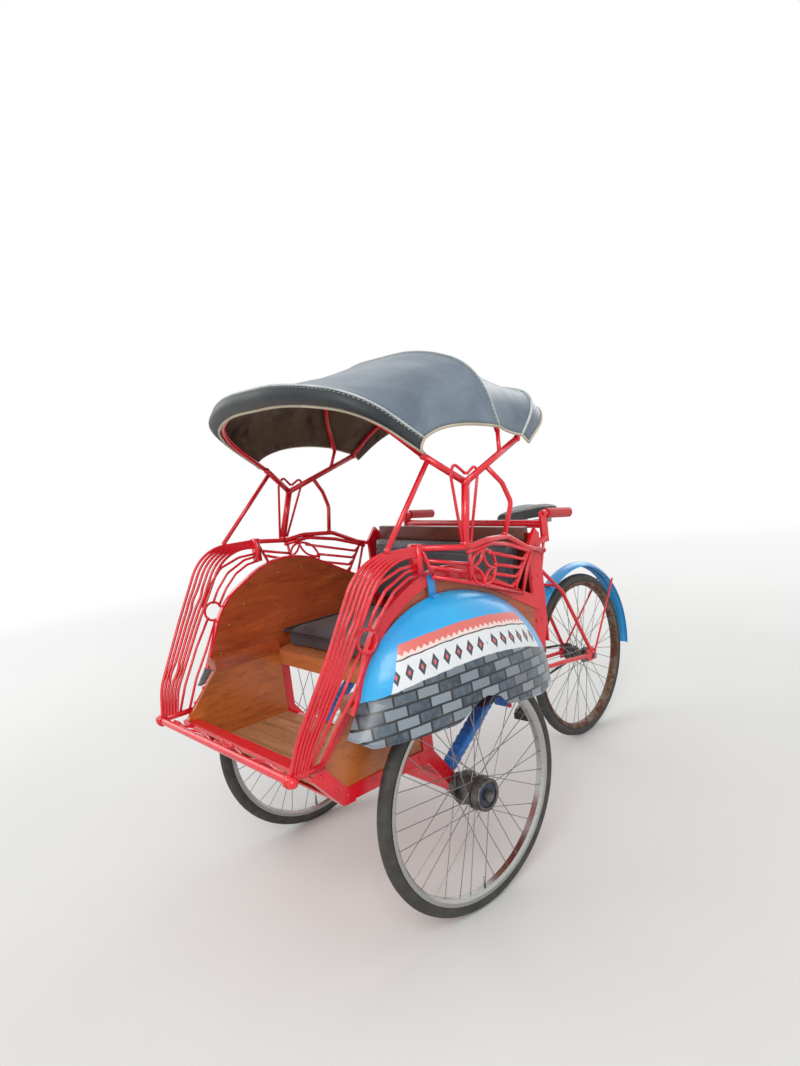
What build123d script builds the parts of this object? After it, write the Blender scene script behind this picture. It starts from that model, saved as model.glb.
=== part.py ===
from build123d import *
import math
import os

# Three-wheeled passenger cycle rickshaw, in millimetres.
# Modelled about the front axle: forward is -Y, the passenger's left is +X, the ground is z = 0.
# A pair (y, z) is a place in the side view. Left-hand pieces are drawn, then mirrored.

# Wheels
TYRE_R = 355.0
TYRE_W = 38.0
TYRE_PROUD = 33.0
RIM_LIP_H = 8.0
RIM_DEPTH = 11.0
RIM_EDGE_R = TYRE_R - TYRE_PROUD
RIM_SEAT_R = RIM_EDGE_R - RIM_LIP_H
RIM_INNER_R = RIM_SEAT_R - RIM_DEPTH
RIM_WAIST = 20.0
RIM_W = 34.0
RIM_WALL = 2.7
SPOKE_R = 1.3
SPOKES_A_SIDE = 18
SPOKE_LEAN = 60.0
TRACK = 868.0
FRONT_HUB_R = 37.0
FRONT_FLANGE_R = 50.0
FRONT_FLANGE_X = 28.0
FRONT_HUB_INNER = 62.0
FRONT_CAP_R = 47.0
FRONT_CAP_X = (36.0, 58.0)
REAR_HUB_R = 20.0
REAR_FLANGE_R = 33.0
REAR_FLANGE_X = 26.0
REAR_HUB_HALF = 48.0
FLANGE_T = 4.0
RUNNING_FIT = 0.05
SEAT_GAP = 0.3
# Longer than the whole vehicle: the length of every cutting shape
REACH = 3000.0

# Front axle and springs
STUB_R = 10.0
BEAM_HALF = 18.0
BEAM_END = 361.7
STUB_END = 506.0
NUT_R = 15.0
NUT_T = 10.0
SPRING_X = 329.0
SPRING_W = 46.0
SPRING_T = 30.0
SPRING_SEAT_Z = TYRE_R + BEAM_HALF + SPRING_T / 2
SPRING_PATH = ((-58, SPRING_SEAT_Z + 4), (14, SPRING_SEAT_Z + 10), (226, 556), (270, 548), (270, 506))
SPRING_BENDS = (40, 40, 16)

# Footwell, as side-view corners
TUB_X = 350.0
BOARD_T = 12.0
STEEL_T = 6.0
TUB_NOSE = (-485.0, 562.0)
TUB_HEEL = (-402.0, 462.0)
TUB_BACK_Y = -111.0
LEDGE_Z = 697.0
TUB_BROW = (-366.0, LEDGE_Z)
STRIP_W = 38.0
FLOOR_T = 14.0
FLOOR_PLANKS = 5
FLOOR_GAP = 4.0
LEDGE_H = 38.0

# Seat and side walls
WALL_X = 398.0
WALL_FOOT = (-362.0, LEDGE_Z)
WALL_KNEE = (-273.0, 905.0)
WALL_CREST = (-8.0, 1053.0)
WALL_END = (414.0, 820.0)
WALL_BENDS = (230.0, 305.0)
WALL_BACK_Y = 380.0
CAB_UNDER_Z = 640.0
SEAT_TOP = 698.0
SEAT_BOARD_T = 15.0
PLANK_H = 53.0
PLANK_T = 30.0
BACK_Y = 425.0
BACK_TOP = 1006.0
CORNER_LEG = 44.0
TOP_RAIL_HALF = WALL_X + BOARD_T - CORNER_LEG
TOP_RAIL_H = 50.0
CUSHION_H = 74.0
CUSHION_FRONT = -72.0
CUSHION_BACK = 342.0
BACK_PAD_T = 54.0
BACK_PAD_H = 250.0
BACK_PAD_LEAN = 5.0
BACK_RAIL_PROUD = 4.0
BAND_W = 30.0
BAND_T = 5.0
CAP_T = 6.0

# Front wing grilles
GRILLE_RODS = 7
GRILLE_ROD_R = 4.5
GRILLE_X = (372.0, 422.0, 436.0)
GRILLE_OUTER = ((-541.0, 590.0), (-301.0, 1051.0), (-90.0, 1087.0))
GRILLE_INNER = ((-486.0, 590.0), (-228.0, 1009.0), (-90.0, 1030.0))
GRILLE_BENDS = (260.0, 190.0)
FRONT_BAR = (-557.0, 588.0)
FRONT_BAR_R = 11.0
FRONT_BAR_HALF = 388.0
KNOB_R = 15.0
FOOT_T = 10.0

# Side lattice rails: (x, y, z) of the top rail, bracket to rear corner
TOP_RAIL = ((436, -80, 1086), (474, 30, 1062), (477, 120, 1055), (465, 180, 1074), (447, 250, 1062), (418, 436, 984))
RAIL_R = 7.0
RAIL_BENDS = (60, 120, 60, 120)
THIN_R = 4.5

# Canopy: (half width, (y, z) of its feet, (y, z) of its crown) for each bow, front to back
BOWS = (
    (427.0, (-33.0, 1339.0), (-281.0, 1516.0)),
    (427.0, (-23.0, 1381.0), (-278.0, 1564.0)),
    (430.0, (280.0, 1387.0), (225.0, 1659.0)),
    (430.0, (375.0, 1359.0), (569.0, 1493.0)),
    (430.0, (392.0, 1336.0), (606.0, 1450.0)),
)
BOW_SHOULDER = (0.955, 0.70)
BOW_CROWN = 0.42
BOW_BENDS = (0.42, 1.40)
CANOPY_T = 6.0
BOW_R = 6.5
BOW_FOOT = 14.0
# Rods under the cover: the section each follows, and its clearance where the cover slopes away
BOW_RODS = ((0, 0.3), (2, 2.4), (3, 1.5))
POST_R = 11.0
ARM_R = 9.0
STAY_R = 7.5
POST_FOOT = (475.0, 42.0, 1061.0)
POST_HEAD = (457.0, 87.0, 1242.0)

# Front mudguards: half an ellipsoid on the side wall, with a straight skirt under it
DOME_X = 398.0
DOME_AXES = (168.0, 376.0, 309.0)
DOME_MID = (18.0, 632.0)
DOME_TILT = 16.2
DOME_T = 2.5
SKIRT_EDGE = ((-450, 652), (-20, 655), (18, 700), (78, 700), (112, 606), (450, 592))

# Steering pivot and handlebar
PIVOT_Y = 629.0
STEER_AT_REST = 5.15
POST_PIN_R = 14.0
HEAD_R = 20.0
HEAD_Z = (600.0, 850.0)
YOKE_Z = (576.0, 873.0)
YOKE_R = 17.5
YOKE_H = 20.0
DOWN_TUBE_R = 14.0
YOKE_ROOT_X = 150.0
BAR_Y = 555.0
BAR_Z = 1045.0
BAR_HALF = 345.0
BAR_R = 14.0
GRIP_R = 17.0
GRIP_L = 130.0
GRIP_RISE = 42.0

# Rear half, in its own frame: x across, y back from the pivot, z up
REAR_AXLE = (579.0, 355.0)
CRANK_AT = (135.0, 385.0)
CRANK_L = 165.0
CRANK_ANGLE = 206.0
CRANK_X = 78.0
SPINDLE_R = 9.0
PEDAL_PIN_R = 5.0
REAR_AXLE_R = 6.0
REAR_NUT_R = 11.0
CHAINRING_R = 92.0
SPROCKET_R = 38.0
CHAIN_X = -54.0
CHAIN_H = 9.0
CHAIN_W = 7.0
DROP_X = 68.0
SEAT_TUBE_TOP = (228.0, 870.0)
SEAT_TUBE_R = 16.0
SEAT_POST_R = 12.5
BRIDGE_R = 6.0
BRIDGE_ANGLE = 120.0
SADDLE_MID = (250.0, 1013.0)
REAR_GUARD_R = 408.0
REAR_GUARD_W = 64.0
REAR_GUARD_T = 2.5
REAR_GUARD_SKIRT = 20.0
STAY_WIRE_R = 4.5
REAR_GUARD_ARC = (-8.0, 138.0)


def path(points, bend=0):
    """Straight runs through the points, their corners rounded."""
    return Line(*points) if len(points) == 2 else FilletPolyline(*points, radius=bend)


def rod(points, radius, bend=0):
    way = path(points, bend)
    return sweep(Plane(origin=way @ 0, z_dir=way % 0) * Circle(radius), path=way)


def strip(points, width, thick, x, bend=0):
    """Flat bar lying in a side-view plane, `thick` across it and centred on x."""
    way = path([(x, y, z) for y, z in points], bend)
    return sweep(Plane(origin=way @ 0, x_dir=(1, 0, 0), z_dir=way % 0) * Rectangle(thick, width), path=way)


def board(points, x0, x1, bend=0):
    """Panel between x0 and x1 with a side-view outline."""
    outline = FilletPolyline(*points, radius=bend, close=True) if bend else Polyline(*points, close=True)
    return extrude(Plane.YZ.offset(x0) * make_face(outline), amount=x1 - x0)


def block(x, y, z):
    """Box from three (low, high) pairs."""
    size = [high - low for low, high in (x, y, z)]
    return Pos(*[(low + high) / 2 for low, high in (x, y, z)]) * Box(*size)


def ring(section, axis=Axis.X):
    return revolve(Plane.XZ * make_face(section), axis=axis)


def both(shape):
    return shape + mirror(shape, about=Plane.YZ)


def lerp(a, b, t):
    return tuple(p + (q - p) * t for p, q in zip(a, b))


def beside(points, gap):
    """Corners of the line that runs `gap` to the left of an open side-view line."""
    spots = [complex(*p) for p in points]
    sides = [1j * (b - a) / abs(b - a) for a, b in zip(spots, spots[1:])]
    sides = [sides[0], *sides, sides[-1]]
    moved = []
    for spot, before, after in zip(spots, sides, sides[1:]):
        turn = 1 + (before * after.conjugate()).real
        moved.append(spot + gap * (before + after) / turn)
    return [(m.real, m.imag) for m in moved]


# Wheels

def tyre():
    side, crown = TYRE_W / 2, TYRE_R
    bead = RIM_W / 2 - RIM_WALL - SEAT_GAP
    seat = RIM_SEAT_R + SEAT_GAP
    flank = crown - side + 2
    section = (
        Polyline((side, flank), (bead, RIM_EDGE_R + 1), (bead, seat), (-bead, seat), (-bead, RIM_EDGE_R + 1), (-side, flank))
        + ThreePointArc((-side, flank), (0, crown), (side, flank))
    )
    return ring(section)


def rim():
    half, lip = RIM_W / 2, RIM_W / 2 - RIM_WALL
    waist = RIM_WAIST / 2
    return ring(Polyline(
        (-half, RIM_EDGE_R), (-half, RIM_SEAT_R - 3), (-waist, RIM_INNER_R), (waist, RIM_INNER_R),
        (half, RIM_SEAT_R - 3), (half, RIM_EDGE_R), (lip, RIM_EDGE_R), (lip, RIM_SEAT_R),
        (-lip, RIM_SEAT_R), (-lip, RIM_EDGE_R), close=True))


def spokes(flange_r, flange_x):
    """Crossed spokes from both flanges, ending at the rim's inner face."""
    made = []
    step = 360 / SPOKES_A_SIDE
    for side in (-1, 1):
        for k in range(SPOKES_A_SIDE):
            way = 1 if k % 2 else -1
            at_hub = math.radians(step * k + (step / 2 if side > 0 else 0))
            at_rim = at_hub + way * math.radians(SPOKE_LEAN)
            root = Vector(side * (flange_x + way * 3), flange_r * math.cos(at_hub), flange_r * math.sin(at_hub))
            reach = RIM_INNER_R - SEAT_GAP
            tip = Vector(side * 4, reach * math.cos(at_rim), reach * math.sin(at_rim))
            made.append(Solid.make_cylinder(SPOKE_R, (tip - root).length, Plane(origin=root, z_dir=tip - root)))
    return made


def hub(barrel_r, flange_r, flange_x, ends, bore_r):
    """Barrel with two spoke flanges along X and its spokes, all one piece."""
    parts = [Pos((ends[0] + ends[1]) / 2, 0, 0) * Rot(0, 90, 0) * Cylinder(barrel_r, ends[1] - ends[0])]
    parts += [Pos(s * flange_x, 0, 0) * Rot(0, 90, 0) * Cylinder(flange_r, FLANGE_T * 2) for s in (-1, 1)]
    body = Part() + parts + spokes(flange_r - 4, flange_x)
    return body - Rot(0, 90, 0) * Cylinder(bore_r, REACH)


def front_hub():
    low, high = FRONT_CAP_X
    core = hub(FRONT_HUB_R, FRONT_FLANGE_R, FRONT_FLANGE_X, (-FRONT_HUB_INNER, high), STUB_R + RUNNING_FIT)
    cap = Pos((low + high) / 2, 0, 0) * Rot(0, 90, 0) * (
        Cylinder(FRONT_CAP_R, high - low) - Cylinder(FRONT_HUB_R - 2, high - low))
    return core + cap


# Footwell

def tub_outline():
    return [TUB_NOSE, TUB_HEEL, (TUB_BACK_Y, TUB_HEEL[1]), (TUB_BACK_Y, LEDGE_Z), TUB_BROW]


def tub_sides():
    return both(board(tub_outline(), TUB_X, TUB_X + BOARD_T))


def tub_frame():
    """Welded steel strips round both side boards, with the crossbars that join them."""
    x0 = TUB_X + BOARD_T
    x1 = x0 + STEEL_T
    inset = STRIP_W / 2
    nose, heel = TUB_NOSE, TUB_HEEL
    hollow = [(nose[0] + STRIP_W, nose[1] + 16), (heel[0] + 14, heel[1] + STRIP_W), (TUB_BACK_Y - 1, heel[1] + STRIP_W),
              (TUB_BACK_Y - 1, LEDGE_Z), (TUB_BROW[0] + STRIP_W, LEDGE_Z)]
    side = board(tub_outline(), x0, x1) - board(hollow, x0 - 1, x1 + 1)
    side += block((x0, x1), (TUB_BACK_Y, TUB_BACK_Y + STRIP_W), (heel[1], CAB_UNDER_Z + 40))
    link = strip([(TUB_BACK_Y + inset, heel[1] + inset), (0, TYRE_R)], STRIP_W, STEEL_T, (x0 + x1) / 2)
    link += Pos((x0 + x1) / 2, 0, TYRE_R) * Rot(0, 90, 0) * Cylinder(BEAM_HALF + 8, STEEL_T)
    link -= Pos((x0 + x1) / 2, 0, TYRE_R) * Rot(0, 90, 0) * Cylinder(STUB_R + SEAT_GAP, STEEL_T * 2)
    inside = TUB_X - SEAT_GAP
    bars = [block((-x1, x1), (nose[0] - STEEL_T, nose[0] - SEAT_GAP), (nose[1] - STEEL_T, nose[1] + STEEL_T)),
            block((-inside, inside), (nose[0] - STEEL_T, nose[0] + STRIP_W), (nose[1] - STEEL_T, nose[1]))]
    corner = block((x0, x1), (nose[0] - STEEL_T, nose[0] + STEEL_T), (nose[1] - STEEL_T, nose[1] + STEEL_T))
    for y in (heel[0] + inset, TUB_BACK_Y + inset):
        bars.append(block((-x1, x1), (y - inset, y + inset), (heel[1] - STEEL_T, heel[1])))
    slope = [nose, heel]
    ramp = board([*beside(slope, -SEAT_GAP), *beside(slope, -STEEL_T)[::-1]], x1 - STRIP_W, x1)
    return Part() + [both(side + link + corner + ramp), *bars]


def floor_planks():
    front = TUB_HEEL[0] + FLOOR_T + FLOOR_GAP
    pitch = (TUB_BACK_Y - front + FLOOR_GAP) / FLOOR_PLANKS
    z = (TUB_HEEL[1] + SEAT_GAP, TUB_HEEL[1] + SEAT_GAP + FLOOR_T)
    half = TUB_X - SEAT_GAP
    made = []
    for k in range(FLOOR_PLANKS):
        start = front + k * pitch
        made.append(block((-half, half), (start, start + pitch - FLOOR_GAP), z))
    slope = [lerp(TUB_NOSE, TUB_HEEL, 0.3), TUB_HEEL]
    ramp = board([*beside(slope, 8), *beside(slope, 8 + FLOOR_T)[::-1]], -half, half)
    return Part() + [*made, ramp]


def ledges():
    return both(block((TUB_X - 4, WALL_X - SEAT_GAP), (TUB_BROW[0] + 4, TUB_BACK_Y), (LEDGE_Z + SEAT_GAP, LEDGE_Z + LEDGE_H)))


# Seat and walls

def wall_edge(gap=0.0):
    """The side wall's curved edge moved out by `gap`: its side-view corners and their bends."""
    return beside([WALL_FOOT, WALL_KNEE, WALL_CREST, WALL_END], gap), [bend + gap for bend in WALL_BENDS]


def wall_top_at(y):
    """Height of the side wall's curved edge."""
    corners, bends = wall_edge()
    edge = path([(0, *p) for p in corners], bends)
    low, high = 0.0, 1.0
    for _ in range(24):
        mid = (low + high) / 2
        low, high = (mid, high) if (edge @ mid).Y < y else (low, mid)
    return (edge @ low).Z


def side_walls():
    low = CAB_UNDER_Z
    corner = (WALL_BACK_Y, wall_top_at(WALL_BACK_Y))
    rear = TUB_BACK_Y + STRIP_W + SEAT_GAP
    points = [WALL_FOOT, WALL_KNEE, WALL_CREST, corner, (WALL_BACK_Y, low), (rear, low), (rear, LEDGE_Z)]
    return both(board(points, WALL_X, WALL_X + BOARD_T, (0, *WALL_BENDS, 0, 0, 0, 0)))


def arch_bands():
    """Steel edging on the walls' outer face, and the cap on their edge."""
    out = WALL_X + BOARD_T
    outer_x = out + SEAT_GAP + BAND_T / 2
    runs = (
        (-BAND_W / 2, BAND_W, BAND_T, outer_x),
        (SEAT_GAP + CAP_T / 2, CAP_T, BOARD_T + BAND_T + SEAT_GAP, WALL_X + (BOARD_T + BAND_T + SEAT_GAP) / 2),
        (CAP_T / 2 - 1, CAP_T + 2, BAND_T, outer_x),
    )
    made = []
    for gap, width, thick, x in runs:
        corners, bends = wall_edge(gap)
        made.append(strip(corners, width, thick, x, bends))
    return both(Part() + made)


def corner_plates():
    """Steel corner posts that close the side walls and carry the back."""
    low = CAB_UNDER_Z
    y0 = WALL_BACK_Y + SEAT_GAP
    y1 = BACK_Y + BOARD_T + SEAT_GAP
    top = wall_top_at(WALL_BACK_Y)
    side = board([(y0, low), (y0 + 28, low), (y0 + 52, low + 72), (y1 + STEEL_T, 780), (y1 + STEEL_T, BACK_TOP + 30),
                  (y1 - 12, BACK_TOP + 48), (y0 + 6, BACK_TOP), (y0 + 6, top + CAP_T + 6), (y0, top - 8)],
                 WALL_X + SEAT_GAP, WALL_X + BOARD_T)
    corners, bends = wall_edge(SEAT_GAP + CAP_T / 2)
    side -= strip(corners, CAP_T + SEAT_GAP * 2, BOARD_T * 4, WALL_X, bends)
    rear = block((TOP_RAIL_HALF + SEAT_GAP, WALL_X + BOARD_T), (y1, y1 + STEEL_T), (low + 40, BACK_TOP + 30))
    return both(side + rear)


def seat_board():
    top = SEAT_TOP
    half = WALL_X - SEAT_GAP
    plank_back = TUB_BACK_Y + SEAT_GAP + PLANK_T
    deck = block((-half, half), (plank_back, BACK_Y - SEAT_GAP), (top - SEAT_BOARD_T, top))
    inner = TUB_X + BOARD_T - SEAT_GAP
    plank = block((-inner, inner), (plank_back - PLANK_T, plank_back), (top + 5 - PLANK_H, top + 5))
    return deck + plank


def seat_cushion():
    half = WALL_X - 8
    pad = block((-half, half), (CUSHION_FRONT, CUSHION_BACK), (SEAT_TOP + SEAT_GAP, SEAT_TOP + CUSHION_H))
    return fillet(pad.edges().filter_by(Axis.Z) + pad.faces().sort_by(Axis.Z)[-1].edges(), 18)


def back_wall():
    half = WALL_X - SEAT_GAP
    panel = block((-half, half), (BACK_Y, BACK_Y + BOARD_T), (CAB_UNDER_Z, BACK_TOP))
    rail = block((-TOP_RAIL_HALF, TOP_RAIL_HALF), (BACK_Y - BACK_RAIL_PROUD, BACK_Y + 16), (BACK_TOP, BACK_TOP + TOP_RAIL_H))
    return panel + rail


def backrest_cushion():
    half = TOP_RAIL_HALF - 4
    pad = Box(2 * half, BACK_PAD_T, BACK_PAD_H, align=(Align.CENTER, Align.MIN, Align.MIN))
    pad = fillet(pad.edges().filter_by(Axis.Y) + pad.faces().sort_by(Axis.Y)[0].edges(), 16)
    lean = math.radians(BACK_PAD_LEAN)
    depth = BACK_PAD_T * math.cos(lean) + BACK_PAD_H * math.sin(lean)
    place = (0, BACK_Y - BACK_RAIL_PROUD - SEAT_GAP - depth, SEAT_TOP + CUSHION_H + 6)
    return Pos(*place) * Rot(-BACK_PAD_LEAN, 0, 0) * pad


def seat_frame():
    """Steel rails under the seat, with the springs' rear brackets."""
    top = SEAT_TOP - SEAT_BOARD_T - SEAT_GAP
    low = CAB_UNDER_Z
    inner = TUB_X + BOARD_T - SEAT_GAP
    front = TUB_BACK_Y + PLANK_T + 2
    rear = BACK_Y - 2
    rail = block((inner - 34, inner), (front, rear), (low, top))
    tail = SPRING_PATH[-1]
    hanger = block((SPRING_X - SPRING_W / 2, SPRING_X + SPRING_W / 2),
                   (tail[0] + SPRING_T / 2 + SEAT_GAP, tail[0] + SPRING_T / 2 + 8), (tail[1] - 14, low + 10))
    cross = [block((-inner, inner), (y, y + 34), (low, top)) for y in (front, 170, rear - 34)]
    outrigger = [block((inner - 2, WALL_X + BOARD_T), (y, y + 30), (low - STEEL_T, low - SEAT_GAP)) for y in (0, 300)]
    foot = [block((inner - 30, inner), (y, y + 30), (low - STEEL_T, low + 4)) for y in (0, 300)]
    return both(Part() + [rail, hanger, *outrigger, *foot]) + cross


# Axle and springs

def axle():
    beam = block((-BEAM_END, BEAM_END), (-BEAM_HALF, BEAM_HALF), (TYRE_R - BEAM_HALF, TYRE_R + BEAM_HALF))
    stub = Pos(0, 0, TYRE_R) * Rot(0, 90, 0) * Cylinder(STUB_R, 2 * STUB_END)
    nut = Pos(STUB_END - 1 - NUT_T / 2, 0, TYRE_R) * Rot(0, 90, 0) * Cylinder(NUT_R, NUT_T)
    return beam + stub + both(nut)


def spring_arms():
    return both(strip(SPRING_PATH, SPRING_T, SPRING_W, SPRING_X, SPRING_BENDS))


# Grilles and lattices

def grille_rod(t):
    """Corners of one rod, t from 0 at the outer rod to 1 at the inner."""
    return [(x, *lerp(a, b, t)) for a, b, x in zip(GRILLE_OUTER, GRILLE_INNER, GRILLE_X)]


def grilles():
    parts = []
    for k in range(GRILLE_RODS):
        t = k / (GRILLE_RODS - 1)
        bend = GRILLE_BENDS[0] + (GRILLE_BENDS[1] - GRILLE_BENDS[0]) * t
        parts.append(rod(grille_rod(t), GRILLE_ROD_R, bend))
    out, end = GRILLE_OUTER[0], GRILLE_INNER[0]
    parts.append(strip([(FRONT_BAR[0], out[1]), (end[0] + 8, end[1])], 16, FOOT_T, GRILLE_X[0]))
    parts.append(Pos(GRILLE_X[0], *FRONT_BAR) * Rot(0, 90, 0) * Cylinder(FRONT_BAR_R + 7, FOOT_T))
    low, high = wall_top_at(-90) + CAP_T + 3, GRILLE_OUTER[-1][1] + 8
    parts.append(block((WALL_X + 6, GRILLE_X[2] + 8), (-96, -86), (low, high)))
    wing = Part() + parts
    return both(wing - Pos(GRILLE_X[0], *FRONT_BAR) * Rot(0, 90, 0) * Cylinder(FRONT_BAR_R + SEAT_GAP, FOOT_T * 4))


def top_rail_at(y, drop=0.0):
    """Point on the side lattice, `drop` from 0 on the top rail to 1 on the wall's cap."""
    for a, b in zip(TOP_RAIL, TOP_RAIL[1:]):
        if a[1] <= y <= b[1]:
            top = lerp(a, b, (y - a[1]) / (b[1] - a[1]))
            break
    foot = (WALL_X + BOARD_T, y, wall_top_at(y) + CAP_T + THIN_R + 4)
    return lerp(top, foot, drop)


def side_lattices():
    rails = [rod(TOP_RAIL, RAIL_R, RAIL_BENDS)]
    second = [(x - 6 if y < 400 else x, y, z - 24) for x, y, z in TOP_RAIL]
    rails.append(rod(second, RAIL_R - 1, RAIL_BENDS))
    for drop in (0.45, 0.72):
        rails.append(rod([top_rail_at(y, drop) for y in (-80, 68)], THIN_R))
    for drop in (0.40, 0.60, 0.80):
        rails.append(rod([top_rail_at(y, drop) for y in (184, 370)], THIN_R))
    for y in (-74, 68, 184, 277, 370):
        rails.append(rod([top_rail_at(y, 0), top_rail_at(y, 1)], THIN_R + 1))
    rise = SEAT_GAP * 2 + CAP_T + THIN_R + 1
    corners, bends = wall_edge(rise)
    sill = rod([(WALL_X + BOARD_T, *p) for p in corners], THIN_R + 1, bends)
    rails.append(sill & block((0, REACH), (-74, 372), (LEDGE_Z, REACH)))
    return both(Part() + rails)


def front_bar():
    y, z = FRONT_BAR
    bar = Pos(0, y, z) * Rot(0, 90, 0) * Cylinder(FRONT_BAR_R, 2 * FRONT_BAR_HALF)
    past_foot = block((GRILLE_X[0] + FOOT_T / 2 + SEAT_GAP, REACH), (-REACH, REACH), (0, REACH))
    knob = Pos(FRONT_BAR_HALF, y, z) * Sphere(KNOB_R) & past_foot
    brace = board([(y, z - 8), (TUB_NOSE[0] - STEEL_T - SEAT_GAP, TUB_NOSE[1] - STEEL_T),
                   (TUB_NOSE[0] - STEEL_T - SEAT_GAP, TUB_NOSE[1]), (y, z + 4)], 300, 325)
    return bar + both(knob + brace)


# Canopy

def bow_points(half, feet, crown, inset=0.0):
    """Corners of a bow, from its left foot over the crown to its right foot."""
    rise = math.dist(feet, crown)
    half, top = half - inset, (rise - inset) / rise
    knee_x, knee_h = BOW_SHOULDER
    place = [(half, 0.0), (half * knee_x, knee_h * top), (half * BOW_CROWN, top)]
    place += [(-x, h) for x, h in reversed(place)]
    return [(x, feet[0] + (crown[0] - feet[0]) * h, feet[1] + (crown[1] - feet[1]) * h) for x, h in place]


def bow_bends(half):
    return [half * b for b in (BOW_BENDS[0], BOW_BENDS[1], BOW_BENDS[1], BOW_BENDS[0])]


def canopy():
    sections = []
    for half, feet, crown in BOWS:
        outer = bow_points(half, feet, crown)
        inner = bow_points(half, feet, crown, CANOPY_T)[::-1]
        bends = bow_bends(half)
        sections.append(make_face(FilletPolyline(*outer, *inner, radius=(0, *bends, 0, 0, *bends, 0), close=True)))
    return loft(sections, ruled=True)


def canopy_bows():
    """Three bent rods that the cover is stretched on."""
    made = []
    for k, gap in BOW_RODS:
        made.append(rod(bow_rod(k, gap), BOW_R, bow_bends(BOWS[k][0])))
    return Part() + made


def bow_rod(k, gap):
    """Corners of the rod that carries section k, its feet below the cover's edge."""
    corners = [Vector(*p) for p in bow_points(*BOWS[k], CANOPY_T + BOW_R + gap)]
    for end, above in ((0, 1), (-1, -2)):
        corners[end] += (corners[end] - corners[above]).normalized() * BOW_FOOT
    return corners


def bow_seat(k, gap):
    """Clearance round a bow's left foot, cut out of the arm that carries it."""
    foot, above = bow_rod(k, gap)[:2]
    way = (above - foot).normalized()
    sleeve = Cylinder(BOW_R + SEAT_GAP, BOW_FOOT * 4, align=(Align.CENTER, Align.CENTER, Align.MIN))
    return Plane(origin=foot - way * SEAT_GAP, z_dir=way) * sleeve


def canopy_posts():
    """Side posts that fork to the front and rear bows, with their stays."""
    front, mid, rear = (bow_rod(k, gap)[0] for k, gap in BOW_RODS)
    head, foot = Vector(*POST_HEAD), Vector(*POST_FOOT)
    lift = Vector(0, 0, RAIL_R + 2.4)
    post = rod([foot + lift, head], POST_R)
    arms = [rod([head, front], ARM_R), rod([head, rear], ARM_R), Pos(*head) * Sphere(POST_R)]
    front_rail = Vector(*lerp(grille_rod(0)[1], grille_rod(0)[2], 0.45)) + Vector(6, 0, 10)
    stay_top = lerp(tuple(head), tuple(front), 0.88)
    arms.append(rod([tuple(front_rail), stay_top], STAY_R))
    wave_top = Vector(*lerp(tuple(head), tuple(rear), 0.36))
    rail = Vector(*top_rail_at(272)) + lift
    wave = [wave_top, (449, 240, 1236), (456, 290, 1180), (456, 292, 1110), rail]
    arms.append(rod([tuple(Vector(*w)) if not isinstance(w, Vector) else tuple(w) for w in wave], STAY_R, 40))
    prop = Vector(*lerp(tuple(head), tuple(rear), 0.64))
    arms.append(rod([tuple(prop), tuple(mid)], STAY_R - 1))
    return both((Part() + [post, *arms]) - [bow_seat(k, gap) for k, gap in BOW_RODS])


# Mudguards

def dome(shrink):
    """Solid half ellipsoid with its skirt, tilted towards the rear."""
    ax, ay, az = (a - shrink for a in DOME_AXES)
    ball = scale(Sphere(ax), by=(1, ay / ax, az / ax))
    upper = ball & Pos(0, 0, REACH / 2) * Box(REACH, REACH, REACH)
    skirt = extrude(Ellipse(ax, ay), amount=-az)
    return Pos(DOME_X, *DOME_MID) * Rot(-DOME_TILT, 0, 0) * (upper + skirt)


def fenders():
    shell = dome(0) - dome(DOME_T)
    keep = block((WALL_X + BOARD_T + BAND_T + 2 * SEAT_GAP, REACH), (-REACH, REACH), (0, REACH))
    below = board([(SKIRT_EDGE[0][0], 0), *SKIRT_EDGE, (SKIRT_EDGE[-1][0], 0)], 0, REACH)
    return both((shell & keep) - below)


def fender_hangers():
    x = WALL_X + BOARD_T + BAND_T + 2 * SEAT_GAP
    top = DOME_MID[1] + DOME_AXES[2]
    strap = block((x, x + 4), (-66, -40), (top - 60, wall_top_at(-53) - 2))
    strap += block((x, x + 20), (-66, -40), (top - 60, top + 8))
    return both(strap - dome(-SEAT_GAP))


# Steering post and handlebar

def steering_post():
    """Pin that the rear half turns on, with the yokes that hold it to the cab's back."""
    low, high = YOKE_Z
    pin = Pos(0, PIVOT_Y, (low + high) / 2) * Cylinder(POST_PIN_R, high - low + YOKE_H)
    y0 = BACK_Y + BOARD_T + SEAT_GAP
    parts = [pin]
    for z in YOKE_Z:
        root = max(z, CAB_UNDER_Z + 24)
        parts.append(both(rod([(YOKE_ROOT_X, y0 + 9, root), (0, PIVOT_Y, z)], 9)))
        parts.append(Pos(0, PIVOT_Y, z) * Cylinder(YOKE_R, YOKE_H))
        parts.append(block((-TOP_RAIL_HALF, TOP_RAIL_HALF), (y0, y0 + STEEL_T), (root - 20, root + 20)))
    return Part() + parts


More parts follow.
